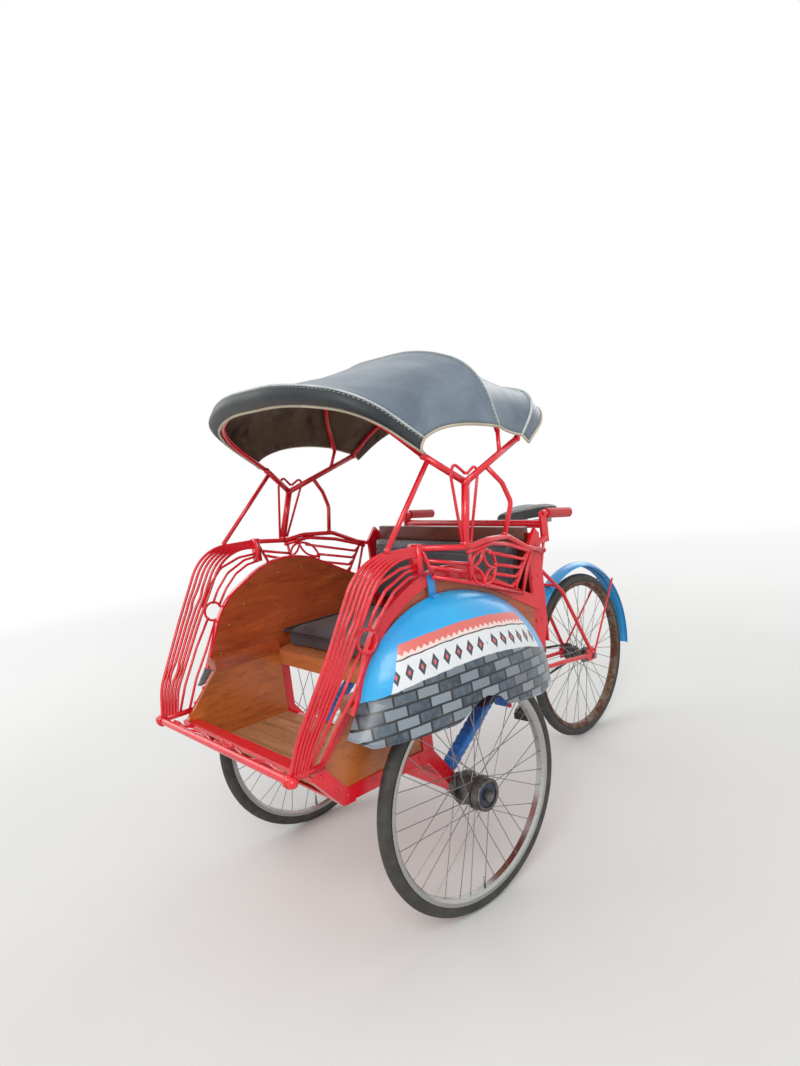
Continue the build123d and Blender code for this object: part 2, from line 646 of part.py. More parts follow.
def handlebar():
    y, z = BAR_Y, BAR_Z
    bar = Pos(0, y, z) * Rot(0, 90, 0) * Cylinder(BAR_R, 2 * BAR_HALF)
    plate = block((BAR_HALF - 6, BAR_HALF + 4), (y - 18, y + 14), (z - 60, z + GRIP_RISE))
    core = rod([(BAR_HALF, y - 6, z + GRIP_RISE - 4), (BAR_HALF, y + GRIP_L + 8, z + GRIP_RISE - 22)], BAR_R - 3)
    post_y = BACK_Y + BOARD_T + 2 * SEAT_GAP + STEEL_T
    leg_x = TOP_RAIL_HALF
    stay = rod([(BAR_HALF, y, z - 40), (leg_x - 4, post_y + 9, 975)], 9)
    pad = block((leg_x - 18, leg_x + 18), (post_y, post_y + 8), (950, 1000))
    brace = rod([(BAR_HALF, y - 10, z - 50), (leg_x, post_y + 6, 780)], 5)
    foot = block((leg_x - 18, leg_x + 18), (post_y, post_y + 8), (765, 800))
    return bar + both(Part() + [plate, core, stay, pad, brace, foot])


def grips():
    y, z = BAR_Y, BAR_Z
    start = (BAR_HALF, y + 18, z + GRIP_RISE - 7)
    end = (BAR_HALF, y + GRIP_L + 8, z + GRIP_RISE - 22)
    return both(rod([start, end], GRIP_R) - rod([(BAR_HALF, y - 6, z + GRIP_RISE - 4), end], BAR_R - 3 + 0.01))


# Rear half

def at_rear(shape):
    """Puts a piece of the rear half behind the pivot, at the photographed steering angle."""
    return Pos(0, PIVOT_Y, 0) * Rot(0, 0, STEER_AT_REST) * shape


def rear_frame():
    cy, cz = CRANK_AT
    ay, az = REAR_AXLE
    head_low, head_high = HEAD_Z
    head = Pos(0, 0, (head_low + head_high) / 2) * Cylinder(HEAD_R, head_high - head_low)
    shell = Pos(0, cy, cz) * Rot(0, 90, 0) * Cylinder(22, 68)
    top = SEAT_TUBE_TOP
    parts = [
        head, shell,
        rod([(0, cy, cz), (0, *top)], SEAT_TUBE_R),
        rod([(0, 0, head_low + 65), (0, cy, cz)], DOWN_TUBE_R),
        rod([(0, 0, head_high - 30), (0, *lerp(CRANK_AT, top, 0.93))], 14),
    ]
    for s in (-1, 1):
        drop = s * DROP_X
        parts.append(rod([(s * 20, cy + 6, cz + 6), (s * 34, cy + 96, cz + 12), (s * 58, cy + 210, cz + 8), (drop, ay - 20, az + 8)], 9, 60))
        parts.append(rod([(0, *lerp(CRANK_AT, top, 0.96)), (s * 38, 298, 789), (s * 58, 399, 684), (drop, ay - 12, az + 24)], 8, 30))
        plate = board([(ay - 46, az - 14), (ay + 20, az - 18), (ay + 26, az + 12), (ay - 4, az + 44), (ay - 46, az + 34)],
                      drop - 3, drop + 3)
        parts.append(plate)
    lean = math.radians(BRIDGE_ANGLE)
    reach = REAR_GUARD_R + BRIDGE_R + SEAT_GAP
    bridge = (ay + reach * math.cos(lean), az + reach * math.sin(lean))
    parts.append(rod([(-54, *bridge), (54, *bridge)], BRIDGE_R))
    body = Part() + parts
    body -= Cylinder(POST_PIN_R + RUNNING_FIT, REACH)
    body -= Pos(0, cy, cz) * Rot(0, 90, 0) * Cylinder(SPINDLE_R + RUNNING_FIT, REACH)
    slope = Vector(0, top[0] - cy, top[1] - cz)
    socket = Plane(origin=(0, *lerp(CRANK_AT, top, 0.6)), z_dir=slope)
    body -= socket * Cylinder(SEAT_POST_R + RUNNING_FIT, REACH, align=(Align.CENTER, Align.CENTER, Align.MIN))
    return body


def rear_axle():
    ay, az = REAR_AXLE
    inner = DROP_X - 3 - SEAT_GAP
    shaft = Rot(0, 90, 0) * Cylinder(REAR_AXLE_R, 2 * inner)
    nut = Pos(DROP_X + 3 + SEAT_GAP + NUT_T / 2, 0, 0) * Rot(0, 90, 0) * Cylinder(REAR_NUT_R, NUT_T)
    return Pos(0, ay, az) * (shaft + both(nut))


def seat_post():
    """Post with the saddle's clamp, rails and rear springs."""
    y, z = SADDLE_MID
    under = z - SEAT_GAP
    slope = Vector(0, SEAT_TUBE_TOP[0] - CRANK_AT[0], SEAT_TUBE_TOP[1] - CRANK_AT[1])
    base = lerp(CRANK_AT, SEAT_TUBE_TOP, 0.6)
    post = Plane(origin=(0, *base), z_dir=slope) * Cylinder(
        SEAT_POST_R, (under - 12 - base[1]) / slope.normalized().Z, align=(Align.CENTER, Align.CENTER, Align.MIN))
    clamp = block((-26, 26), (y - 12, y + 18), (under - 28, under - 8))
    rails = [rod([(s * 22, y - 100, under - 4), (s * 22, y + 60, under - 16), (s * 56, y + 96, under - 22)], 3.5)
             for s in (-1, 1)]
    springs = [Pos(s * 58, y + 98, under - 14) * Cylinder(15, 28) for s in (-1, 1)]
    return Part() + [post, clamp, *rails, *springs]


def saddle():
    """Broad sprung saddle: a nose and two hips, rounded over."""
    y, z = SADDLE_MID
    outline = FilletPolyline((-18, -140), (18, -140), (60, 10), (98, 60), (88, 130), (-88, 130), (-98, 60), (-60, 10),
                             radius=(16, 16, 60, 30, 24, 24, 30, 60), close=True)
    top = extrude(make_face(outline), amount=46)
    top = fillet(top.faces().sort_by(Axis.Z)[-1].edges(), 14)
    return Pos(0, y, z) * top


def chain_loop(grow, width):
    """Closed band round the chainring and the sprocket."""
    cy, cz = CRANK_AT
    ay, az = REAR_AXLE
    big, small = CHAINRING_R + grow, SPROCKET_R + grow
    span = math.hypot(ay - cy, az - cz)
    lean = math.atan2(az - cz, ay - cy)
    tilt = math.acos((big - small) / span)
    ends = []
    for s in (1, -1):
        a = lean + s * tilt
        ends.append(((cy + big * math.cos(a), cz + big * math.sin(a)), (ay + small * math.cos(a), az + small * math.sin(a))))
    (a0, a1), (b0, b1) = ends
    fore = (cy - big * math.cos(lean), cz - big * math.sin(lean))
    aft = (ay + small * math.cos(lean), az + small * math.sin(lean))
    loop = Line(a0, a1) + ThreePointArc(a1, aft, b1) + Line(b1, b0) + ThreePointArc(b0, fore, a0)
    return extrude(Plane.YZ.offset(CHAIN_X - width / 2) * make_face(loop), amount=width)


def chain():
    return chain_loop(CHAIN_H / 2, CHAIN_W) - chain_loop(-CHAIN_H / 2, CHAIN_W)


def rear_guard():
    ay, az = REAR_AXLE
    half, t = REAR_GUARD_W / 2, REAR_GUARD_T
    r = REAR_GUARD_R
    drop = REAR_GUARD_SKIRT
    section = make_face(
        ThreePointArc((-half, r - drop), (0, r), (half, r - drop)) + Line((half, r - drop), (half - t, r - drop))
        + ThreePointArc((half - t, r - drop), (0, r - t), (-half + t, r - drop)) + Line((-half + t, r - drop), (-half, r - drop)))
    low, high = REAR_GUARD_ARC
    swept = revolve(Plane.XZ * section, axis=Axis.X, revolution_arc=high - low)
    return Pos(0, ay, az) * Rot(low - 90, 0, 0) * swept


def guard_stays():
    ay, az = REAR_AXLE
    made = []
    for s in (-1, 1):
        low = (s * (DROP_X + 3 + SEAT_GAP + STAY_WIRE_R), ay + 10, az + 22)
        reach = (REAR_GUARD_R - REAR_GUARD_SKIRT / 2) / math.sqrt(2)
        high = (s * (REAR_GUARD_W / 2 + SEAT_GAP + STAY_WIRE_R), ay + reach, az + reach)
        made.append(rod([low, high], STAY_WIRE_R))
    return Part() + made


def crankset():
    spindle = Rot(0, 90, 0) * Cylinder(SPINDLE_R, 2 * CRANK_X)
    ring_x = CHAIN_X
    disc = Pos(ring_x, 0, 0) * Rot(0, 90, 0) * Cylinder(CHAINRING_R - CHAIN_H / 2 - SEAT_GAP, 4)
    holes = [Pos(ring_x, 56 * math.cos(a), 56 * math.sin(a)) * Rot(0, 90, 0) * Cylinder(18, 20)
             for a in (math.radians(72 * k + 18) for k in range(5))]
    parts = [spindle, disc - holes]
    for s in (-1, 1):
        angle = math.radians(CRANK_ANGLE + (0 if s > 0 else 180))
        end = (CRANK_L * math.cos(angle), CRANK_L * math.sin(angle))
        parts.append(strip([(0, 0), end], 24, 12, s * CRANK_X))
        parts.append(Pos(s * CRANK_X, 0, 0) * Rot(0, 90, 0) * Cylinder(17, 14))
        parts.append(Pos(s * CRANK_X, *end) * Rot(0, 90, 0) * Cylinder(13, 12))
        parts.append(Pos(s * (CRANK_X + 55), *end) * Rot(0, 90, 0) * Cylinder(PEDAL_PIN_R, 110))
    return Pos(0, *CRANK_AT) * (Part() + parts)


def pedal(side):
    angle = math.radians(CRANK_ANGLE + (0 if side > 0 else 180))
    end = (CRANK_AT[0] + CRANK_L * math.cos(angle), CRANK_AT[1] + CRANK_L * math.sin(angle))
    x0 = CRANK_X + 6 + 4
    core = Pos(side * (x0 + 46), 0, 0) * Rot(0, 90, 0) * Cylinder(10, 92)
    pads = [Pos(side * (x0 + 46), y, 0) * Box(84, 22, 24) for y in (-34, 34)]
    webs = [Pos(side * (x0 + x), 0, 0) * Box(5, 90, 14) for x in (6, 86)]
    body = Part() + [core, *pads, *webs]
    return Pos(0, *end) * (body - Rot(0, 90, 0) * Cylinder(PEDAL_PIN_R + RUNNING_FIT, REACH))


def sprocket():
    return Pos(CHAIN_X, 0, 0) * Rot(0, 90, 0) * Cylinder(SPROCKET_R - CHAIN_H / 2 - SEAT_GAP, 4)


def nodes():
    """Every piece by its node's name."""
    made = {
        "tub_frame": tub_frame(),
        "tub_sides": tub_sides(),
        "floor_planks": floor_planks(),
        "ledges": ledges(),
        "side_walls": side_walls(),
        "arch_bands": arch_bands(),
        "corner_plates": corner_plates(),
        "seat_board": seat_board(),
        "seat_cushion": seat_cushion(),
        "back_wall": back_wall(),
        "backrest_cushion": backrest_cushion(),
        "seat_frame": seat_frame(),
        "axle": axle(),
        "spring_arms": spring_arms(),
        "grilles": grilles(),
        "side_lattices": side_lattices(),
        "front_bar": front_bar(),
        "canopy": canopy(),
        "canopy_bows": canopy_bows(),
        "canopy_posts": canopy_posts(),
        "fenders": fenders(),
        "fender_hangers": fender_hangers(),
        "steering_post": steering_post(),
        "handlebar": handlebar(),
        "grips": grips(),
        "rear_frame": at_rear(rear_frame()),
        "rear_axle": at_rear(rear_axle()),
        "seat_post": at_rear(seat_post()),
        "saddle": at_rear(saddle()),
        "chain": at_rear(chain()),
        "rear_guard": at_rear(rear_guard()),
        "guard_stays": at_rear(guard_stays()),
        "crankset": at_rear(crankset()),
        "pedal_left": at_rear(pedal(1)),
        "pedal_right": at_rear(pedal(-1)),
    }
    for side, name in ((1, "left"), (-1, "right")):
        spot_at = Pos(side * TRACK / 2, 0, TYRE_R)
        made[f"{name}_tyre"] = spot_at * tyre()
        made[f"{name}_rim"] = spot_at * rim()
        made[f"{name}_hub"] = spot_at * (front_hub() if side > 0 else mirror(front_hub(), about=Plane.YZ))
    rear = Pos(0, *REAR_AXLE)
    made["rear_tyre"] = at_rear(rear * tyre())
    made["rear_rim"] = at_rear(rear * rim())
    bore_r = REAR_AXLE_R + RUNNING_FIT
    rear_hub = hub(REAR_HUB_R, REAR_FLANGE_R, REAR_FLANGE_X, (CHAIN_X - 4, REAR_HUB_HALF), bore_r)
    made["rear_hub"] = at_rear(rear * (rear_hub + (sprocket() - Rot(0, 90, 0) * Cylinder(bore_r, REACH))))
    return made


made = nodes()
bounds = Compound(children=[Compound(shape.solids()) for shape in made.values()]).bounding_box()
centre = bounds.center()
os.makedirs("parts", exist_ok=True)
for name, shape in made.items():
    export_step(Pos(-centre.X, -centre.Y, 0) * shape, f"parts/{name}.step")
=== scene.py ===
import math
from functools import partialmethod

import bpy
from mathutils import Matrix, Vector, noise


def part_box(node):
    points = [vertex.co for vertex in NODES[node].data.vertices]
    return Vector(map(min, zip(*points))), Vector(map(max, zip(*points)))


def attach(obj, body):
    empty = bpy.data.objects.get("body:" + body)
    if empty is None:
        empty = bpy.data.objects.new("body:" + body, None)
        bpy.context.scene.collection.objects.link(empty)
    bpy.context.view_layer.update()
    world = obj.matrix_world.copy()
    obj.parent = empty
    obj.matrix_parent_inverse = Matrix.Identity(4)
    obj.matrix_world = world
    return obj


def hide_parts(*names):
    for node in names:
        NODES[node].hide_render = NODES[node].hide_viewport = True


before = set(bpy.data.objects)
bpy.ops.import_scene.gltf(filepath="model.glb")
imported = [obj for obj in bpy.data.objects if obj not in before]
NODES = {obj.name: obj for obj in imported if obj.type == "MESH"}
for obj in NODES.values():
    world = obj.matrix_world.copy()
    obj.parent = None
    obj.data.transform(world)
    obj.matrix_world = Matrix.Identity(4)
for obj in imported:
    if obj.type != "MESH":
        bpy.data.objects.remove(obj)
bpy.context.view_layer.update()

# Camera, fitted to the wheels' ellipses in the photograph: metres from the ground under the front axle's middle
FOCAL_PX = 752.07
PHOTO_LONG_SIDE = 1066
SENSOR_MM = 36.0
CAMERA_AT = Vector((1.9368, -1.4375, 1.3787))
CAMERA_YAW = -0.865
CAMERA_PITCH = 0.121
CAMERA_ROLL = -0.122

# Sizes shared with the solids, in millimetres from the same point
TYRE_R = 355.0
TYRE_HALF = 19.0
WALL_X = 398.0
PIVOT_Y = 629.0
STEER_AT_REST = math.radians(5.15)
CRANK_AT = (135.0, 385.0)
REAR_AXLE = (579.0, 355.0)
CHAIN_X = -54.0


def middle(node):
    low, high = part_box(node)
    return (low + high) / 2


AXLE = Vector((0, middle("left_tyre").y, 0))


def at(x, y, z):
    """A place given in millimetres from the ground under the front axle's middle."""
    return AXLE + Vector((x, y, z)) / 1000


def at_rear(x, y, z):
    """A place in the rear half's own frame, behind the steering pivot."""
    c, s = math.cos(STEER_AT_REST), math.sin(STEER_AT_REST)
    return at(x * c - y * s, PIVOT_Y + x * s + y * c, z)


def make_camera():
    ahead = Vector((math.sin(CAMERA_YAW) * math.cos(CAMERA_PITCH), math.cos(CAMERA_YAW) * math.cos(CAMERA_PITCH),
                    -math.sin(CAMERA_PITCH)))
    level = Vector((math.cos(CAMERA_YAW), -math.sin(CAMERA_YAW), 0))
    upright = level.cross(ahead)
    right = math.cos(CAMERA_ROLL) * level + math.sin(CAMERA_ROLL) * upright
    up = -math.sin(CAMERA_ROLL) * level + math.cos(CAMERA_ROLL) * upright
    data = bpy.data.cameras.new("camera")
    data.sensor_width = SENSOR_MM
    data.lens = FOCAL_PX / PHOTO_LONG_SIDE * SENSOR_MM
    cam = bpy.data.objects.new("camera", data)
    bpy.context.scene.collection.objects.link(cam)
    turn = Matrix((right, up, -ahead)).transposed()
    cam.matrix_world = Matrix.Translation(AXLE + CAMERA_AT) @ turn.to_4x4()
    bpy.context.scene.camera = cam


# Materials

def rgb(r, g, b):
    """A colour written in 0-255 screen values, as the shader's linear colour."""
    return (*[c / 255 / 12.92 if c <= 10 else ((c / 255 + 0.055) / 1.055) ** 2.4 for c in (r, g, b)], 1)


class Shade:
    """A node material under construction. Every method returns a socket for the next one."""

    def __init__(self, name, rough=0.5, metal=0.0, **fixed):
        self.mat = bpy.data.materials.new(name)
        self.mat.use_nodes = True
        self.tree = self.mat.node_tree
        self.shader = self.tree.nodes["Principled BSDF"]
        self.put(self.shader.inputs["Roughness"], rough)
        self.put(self.shader.inputs["Metallic"], metal)
        for key, value in fixed.items():
            self.put(self.shader.inputs[key.replace("_", " ")], value)
        self.here = self.add("ShaderNodeTexCoord").outputs["Object"]

    def add(self, kind, **settings):
        node = self.tree.nodes.new(kind)
        for key, value in settings.items():
            setattr(node, key, value)
        return node

    def put(self, socket, value):
        if isinstance(value, bpy.types.NodeSocket):
            self.tree.links.new(value, socket)
        else:
            socket.default_value = value

    def calc(self, op, a, b=0.0, clamp=False):
        node = self.add("ShaderNodeMath", operation=op, use_clamp=clamp)
        self.put(node.inputs[0], a)
        self.put(node.inputs[1], b)
        return node.outputs[0]

    plus = partialmethod(calc, "ADD")
    minus = partialmethod(calc, "SUBTRACT")
    times = partialmethod(calc, "MULTIPLY")
    over = partialmethod(calc, "DIVIDE")
    absolute = partialmethod(calc, "ABSOLUTE")
    floor = partialmethod(calc, "FLOOR")
    fract = partialmethod(calc, "FRACT")

    def split(self, place=None):
        node = self.add("ShaderNodeSeparateXYZ")
        self.put(node.inputs[0], self.here if place is None else place)
        return node.outputs

    def join(self, x=0.0, y=0.0, z=0.0):
        node = self.add("ShaderNodeCombineXYZ")
        for socket, value in zip(node.inputs, (x, y, z)):
            self.put(socket, value)
        return node.outputs[0]

    def stretched(self, factors, turn=(0, 0, 0)):
        node = self.add("ShaderNodeMapping")
        self.put(node.inputs["Vector"], self.here)
        node.inputs["Rotation"].default_value = turn
        node.inputs["Scale"].default_value = factors
        return node.outputs[0]

    def noise(self, scale, detail=4.0, rough=0.55, place=None, warp=0.0):
        node = self.add("ShaderNodeTexNoise")
        self.put(node.inputs["Vector"], self.here if place is None else place)
        node.inputs["Scale"].default_value = scale
        node.inputs["Detail"].default_value = detail
        node.inputs["Roughness"].default_value = rough
        node.inputs["Distortion"].default_value = warp
        return node.outputs[0]

    def cells(self, scale, feature="F1", place=None):
        node = self.add("ShaderNodeTexVoronoi", feature=feature)
        self.put(node.inputs["Vector"], self.here if place is None else place)
        node.inputs["Scale"].default_value = scale
        return node.outputs["Distance"]

    def random(self, place):
        node = self.add("ShaderNodeTexWhiteNoise", noise_dimensions="3D")
        self.put(node.inputs["Vector"], place)
        return node.outputs["Value"]

    def between(self, value, low, high):
        """0 below low and 1 above high."""
        node = self.add("ShaderNodeMapRange")
        self.put(node.inputs["Value"], value)
        node.inputs["From Min"].default_value = low
        node.inputs["From Max"].default_value = high
        return node.outputs["Result"]

    def mix(self, share, a, b):
        node = self.add("ShaderNodeMix", data_type="RGBA")
        self.put(node.inputs[0], share)
        self.put(node.inputs[6], a)
        self.put(node.inputs[7], b)
        return node.outputs[2]

    def ramp(self, value, *stops):
        node = self.add("ShaderNodeValToRGB")
        self.put(node.inputs["Fac"], value)
        points = node.color_ramp.elements
        while len(points) < len(stops):
            points.new(0.5)
        for point, (spot, colour) in zip(points, stops):
            point.position = spot
            point.color = colour
        return node.outputs["Color"]

    def colour(self, value):
        self.put(self.shader.inputs["Base Color"], value)

    def rough(self, low, high, value):
        node = self.add("ShaderNodeMapRange")
        self.put(node.inputs["Value"], value)
        node.inputs["To Min"].default_value = low
        node.inputs["To Max"].default_value = high
        self.put(self.shader.inputs["Roughness"], node.outputs["Result"])

    def bump(self, height, depth, strength=1.0):
        node = self.add("ShaderNodeBump")
        self.put(node.inputs["Height"], height)
        node.inputs["Distance"].default_value = depth
        node.inputs["Strength"].default_value = strength
        if self.shader.inputs["Normal"].is_linked:
            self.put(node.inputs["Normal"], self.shader.inputs["Normal"].links[0].from_socket)
        self.put(self.shader.inputs["Normal"], node.outputs[0])


def painted(name, main, deep, worn, chips=0.70, gloss=(0.16, 0.34)):
    """Brushed gloss paint: slow colour drift, brush ripple, dust and small chips."""
    s = Shade(name, Coat_Weight=0.35, Coat_Roughness=0.12)
    drift = s.noise(7.0, 5.0, 0.6)
    chip = s.between(s.noise(46.0, 8.0, 0.72, warp=0.4), chips, chips + 0.02)
    dust = s.between(s.noise(18.0, 6.0, 0.7), 0.55, 0.95)
    base = s.mix(s.between(drift, 0.35, 0.7), main, deep)
    base = s.mix(s.times(dust, 0.25), base, rgb(176, 150, 138))
    s.colour(s.mix(chip, base, worn))
    s.rough(*gloss, s.noise(30.0, 4.0))
    s.bump(s.noise(55.0, 3.0), 0.0012, 0.35)
    s.bump(s.noise(420.0, 2.0), 0.0002, 0.25)
    return s.mat


def wooden(name, pale, main, dark, grain, gloss=(0.2, 0.42), wear=0.2, coat=0.4):
    """Varnished board: long grain, fine pores and dulled patches. grain is the board's squash factors."""
    s = Shade(name, Coat_Weight=coat, Coat_Roughness=0.16)
    place = s.stretched(grain)
    figure = s.noise(7.0, 5.0, 0.62, place, 1.6)
    streak = s.noise(46.0, 6.0, 0.7, place, 0.3)
    pore = s.noise(190.0, 3.0, 0.6, place)
    tone = s.ramp(figure, (0.28, dark), (0.44, main), (0.56, main), (0.72, pale))
    tone = s.mix(s.between(streak, 0.5, 0.8), tone, dark)
    tone = s.mix(s.times(s.between(pore, 0.62, 0.7), 0.55), tone, rgb(46, 22, 10))
    old = s.between(s.noise(9.0, 6.0, 0.7), 0.56, 0.8)
    s.colour(s.mix(s.times(old, wear), tone, rgb(120, 96, 74)))
    s.rough(*gloss, s.noise(16.0, 5.0))
    s.bump(streak, 0.0008, 0.3)
    s.bump(pore, 0.0004, 0.25)
    return s.mat


def metal(name, bright, stain, share=0.5, gloss=(0.2, 0.45), shine=1.0, grease=None):
    """Plated or bare metal with stains, fine scratches and, where given, grease."""
    s = Shade(name, metal=shine)
    spots = s.between(s.noise(26.0, 8.0, 0.72, warp=0.5), 1 - share, 1 - share + 0.16)
    fine = s.noise(240.0, 4.0, 0.6)
    base = s.mix(s.between(fine, 0.35, 0.75), bright, tuple(c * 0.72 for c in bright[:3]) + (1,))
    base = s.mix(spots, base, stain)
    if grease:
        base = s.mix(s.between(s.noise(38.0, 6.0, 0.7), 0.42, 0.66), base, grease)
    s.colour(base)
    s.rough(*gloss, s.noise(60.0, 6.0, 0.65))
    s.bump(s.noise(300.0, 4.0), 0.0002, 0.4)
    return s.mat


def rubber(name, main, dusty, dust=0.5, gloss=(0.55, 0.8)):
    """Rubber with road dust in its hollows."""
    s = Shade(name)
    patch = s.noise(24.0, 7.0, 0.7)
    fine = s.noise(330.0, 4.0, 0.6)
    base = s.mix(s.times(s.between(patch, 0.35, 0.75), dust), main, dusty)
    s.colour(s.mix(s.times(s.between(fine, 0.5, 0.8), 0.35), base, dusty))
    s.rough(*gloss, patch)
    s.bump(fine, 0.0004, 0.5)
    return s.mat


def vinyl(name, main, pale, grain_mm=1.3, dust=0.35, gloss=(0.3, 0.5)):
    """Leathercloth: pebbled grain, soft sheen, and pale patches of dust, which on the hood are also painted sky
    reflection.
    """
    s = Shade(name, Sheen_Weight=0.15, Sheen_Roughness=0.4)
    grain = s.cells(1000 / grain_mm / 2.2)
    cloud = s.noise(5.5, 7.0, 0.62, warp=0.4)
    streak = s.noise(30.0, 6.0, 0.7)
    # Pale patches: dust, and on the hood also painted sky reflection
    base = s.mix(s.times(s.between(cloud, 0.38, 0.72), dust), main, pale)
    s.colour(s.mix(s.times(s.between(streak, 0.55, 0.8), 0.25), base, pale))
    s.rough(*gloss, streak)
    s.bump(grain, 0.0005, 0.3)
    s.bump(s.noise(22.0, 4.0), 0.003, 0.25)
    return s.mat


def woven(name, main, dark, stain, patches=0.5):
    """Plain-woven lining or tape, stained in patches."""
    s = Shade(name, rough=0.85, Sheen_Weight=0.3, Sheen_Roughness=0.5)
    x, y, z = s.split()
    warp = s.calc("SINE", s.times(x, 3600.0))
    weft = s.calc("SINE", s.times(s.plus(y, z), 3600.0))
    weave = s.times(warp, weft)
    cloud = s.noise(6.0, 7.0, 0.65, warp=0.6)
    base = s.mix(s.between(s.noise(16.0, 5.0), 0.35, 0.7), main, dark)
    s.colour(s.mix(s.between(cloud, patches, patches + 0.12), base, stain))
    s.bump(weave, 0.0004, 0.5)
    return s.mat


COURSE_H = 0.0290
STONE_L = 0.070
MOTIF_PITCH = 0.041


def mudguard_paint():
    """Sky-blue ground, two plain painted bands with regular motifs, and grey stone courses below."""
    s = Shade("mudguard_paint", Coat_Weight=0.3, Coat_Roughness=0.15)
    x, y, z = s.split()
    y = s.minus(y, AXLE.y)
    round_side = s.times(s.minus(0.566, s.absolute(x)), s.calc("SIGN", s.minus(y, 0.018)))
    along = s.plus(y, s.times(round_side, 0.45))
    wobble = s.times(s.minus(s.noise(28.0, 3.0), 0.5), 0.007)
    arch = s.calc("POWER", s.plus(y, 0.05), 2.0)
    over_brick = s.minus(s.plus(s.plus(z, s.times(arch, 0.55)), wobble), 0.776)
    # Stone courses
    level = s.plus(s.plus(z, s.times(arch, 0.25)), s.times(wobble, 0.5))
    row_at = s.over(level, COURSE_H)
    row = s.floor(row_at)
    shift = s.times(s.calc("MODULO", row, 2.0), 0.5)
    stone_at = s.plus(s.plus(s.over(along, STONE_L), shift), s.times(s.random(s.join(row)), 0.3))
    stone = s.floor(stone_at)
    down = s.fract(row_at)
    across = s.fract(stone_at)
    joint_z = s.calc("MINIMUM", down, s.minus(1.0, down))
    joint_y = s.calc("MINIMUM", across, s.minus(1.0, across))
    face = s.times(s.between(joint_z, 0.08, 0.12), s.between(joint_y, 0.035, 0.055))
    pick = s.random(s.join(stone, row, 3.0))
    turn = s.absolute(s.calc("MODULO", s.plus(stone, s.floor(s.times(row, 0.5))), 2.0))
    pale = s.ramp(pick, (0.0, rgb(96, 108, 118)), (0.5, rgb(122, 132, 142)), (1.0, rgb(138, 148, 156)))
    dark = s.ramp(pick, (0.0, rgb(38, 52, 64)), (0.6, rgb(52, 68, 82)), (1.0, rgb(70, 86, 98)))
    grey = s.mix(turn, dark, pale)
    grey = s.mix(s.times(s.between(s.noise(60.0, 5.0), 0.4, 0.75), 0.4), grey, rgb(128, 138, 146))
    courses = s.mix(face, rgb(16, 19, 24), grey)
    # Bands over the courses
    sky = s.mix(s.between(s.noise(5.0, 4.0), 0.35, 0.7), rgb(26, 158, 224), rgb(40, 176, 236))
    middle_z = s.absolute(s.minus(over_brick, 0.032))
    cell = s.absolute(s.minus(s.fract(s.over(along, MOTIF_PITCH)), 0.5))
    diamond = s.plus(s.over(middle_z, 0.021), s.over(cell, 0.33))
    white = s.mix(s.between(diamond, 0.96, 1.0), rgb(52, 62, 74), rgb(224, 228, 230))
    eye = s.plus(s.over(middle_z, 0.008), s.over(cell, 0.13))
    white = s.mix(s.between(eye, 0.94, 1.0), rgb(214, 96, 88), white)
    tooth = s.absolute(s.minus(s.fract(s.over(along, MOTIF_PITCH / 2)), 0.5))
    tooth_top = s.plus(0.072, s.times(tooth, 0.018))
    salmon = s.mix(s.between(s.minus(over_brick, tooth_top), -0.0005, 0.0005), rgb(240, 214, 206), rgb(222, 112, 104))
    trim = s.between(s.absolute(s.minus(over_brick, 0.0655)), 0.0012, 0.0022)
    bands = s.mix(s.between(over_brick, 0.0650, 0.0656), white, salmon)
    bands = s.mix(trim, rgb(54, 60, 70), bands)
    bands = s.mix(s.between(over_brick, 0.0985, 0.0990), bands, sky)
    ends = s.times(s.between(s.plus(along, s.times(over_brick, -0.5)), -0.330, -0.328),
                  s.between(s.plus(along, s.times(over_brick, 0.5)), 0.300, 0.298))
    upper = s.mix(ends, sky, bands)
    paint = s.mix(s.between(over_brick, -0.0006, 0.0006), courses, upper)
    scuff = s.between(s.noise(34.0, 8.0, 0.74, warp=0.3), 0.69, 0.72)
    grime = s.times(s.between(s.noise(12.0, 6.0, 0.7), 0.5, 0.85), 0.22)
    paint = s.mix(grime, paint, rgb(150, 140, 128))
    s.colour(s.mix(s.times(scuff, 0.8), paint, rgb(96, 92, 88)))
    s.rough(0.2, 0.42, s.noise(30.0, 5.0))
    s.bump(s.noise(50.0, 3.0), 0.001, 0.3)
    s.bump(face, 0.0005, 0.25)
    return s.mat


RED = painted("red_paint", rgb(232, 26, 44), rgb(206, 14, 32), rgb(84, 34, 28))
SKY = painted("sky_paint", rgb(26, 158, 224), rgb(18, 132, 200), rgb(74, 70, 66), chips=0.62)
GUARD = mudguard_paint()
WALL = wooden("varnished_walls", rgb(206, 104, 50), rgb(172, 78, 36), rgb(122, 50, 20), (1.0, 0.16, 1.0))
CROSS = wooden("varnished_cross_boards", rgb(230, 152, 98), rgb(202, 120, 70), rgb(140, 76, 38), (0.16, 1.0, 1.0))
TUB = wooden("varnished_tub", rgb(220, 130, 58), rgb(184, 102, 44), rgb(132, 66, 28), (1.0, 0.2, 1.0))
FLOOR = wooden("worn_floor", rgb(214, 164, 118), rgb(186, 134, 92), rgb(136, 92, 60), (0.12, 1.0, 1.0),
               gloss=(0.45, 0.7), wear=0.5, coat=0.1)
RAIL = wooden("dark_varnished_rail", rgb(136, 64, 36), rgb(104, 44, 24), rgb(66, 26, 14), (0.16, 1.0, 1.0))
BLACK = vinyl("ribbed_vinyl", rgb(60, 60, 66), rgb(112, 112, 118))
SADDLE = vinyl("saddle_vinyl", rgb(24, 24, 27), rgb(80, 80, 84), gloss=(0.22, 0.4))
# The hood's light blue-grey main colour is painted sky reflection over grey-black vinyl, and its pale patches are dust
# and painted sheen
HOOD = vinyl("hood_vinyl_painted_sky_sheen", rgb(90, 104, 118), rgb(142, 158, 172), grain_mm=1.6, dust=0.5, gloss=(0.3, 0.46))
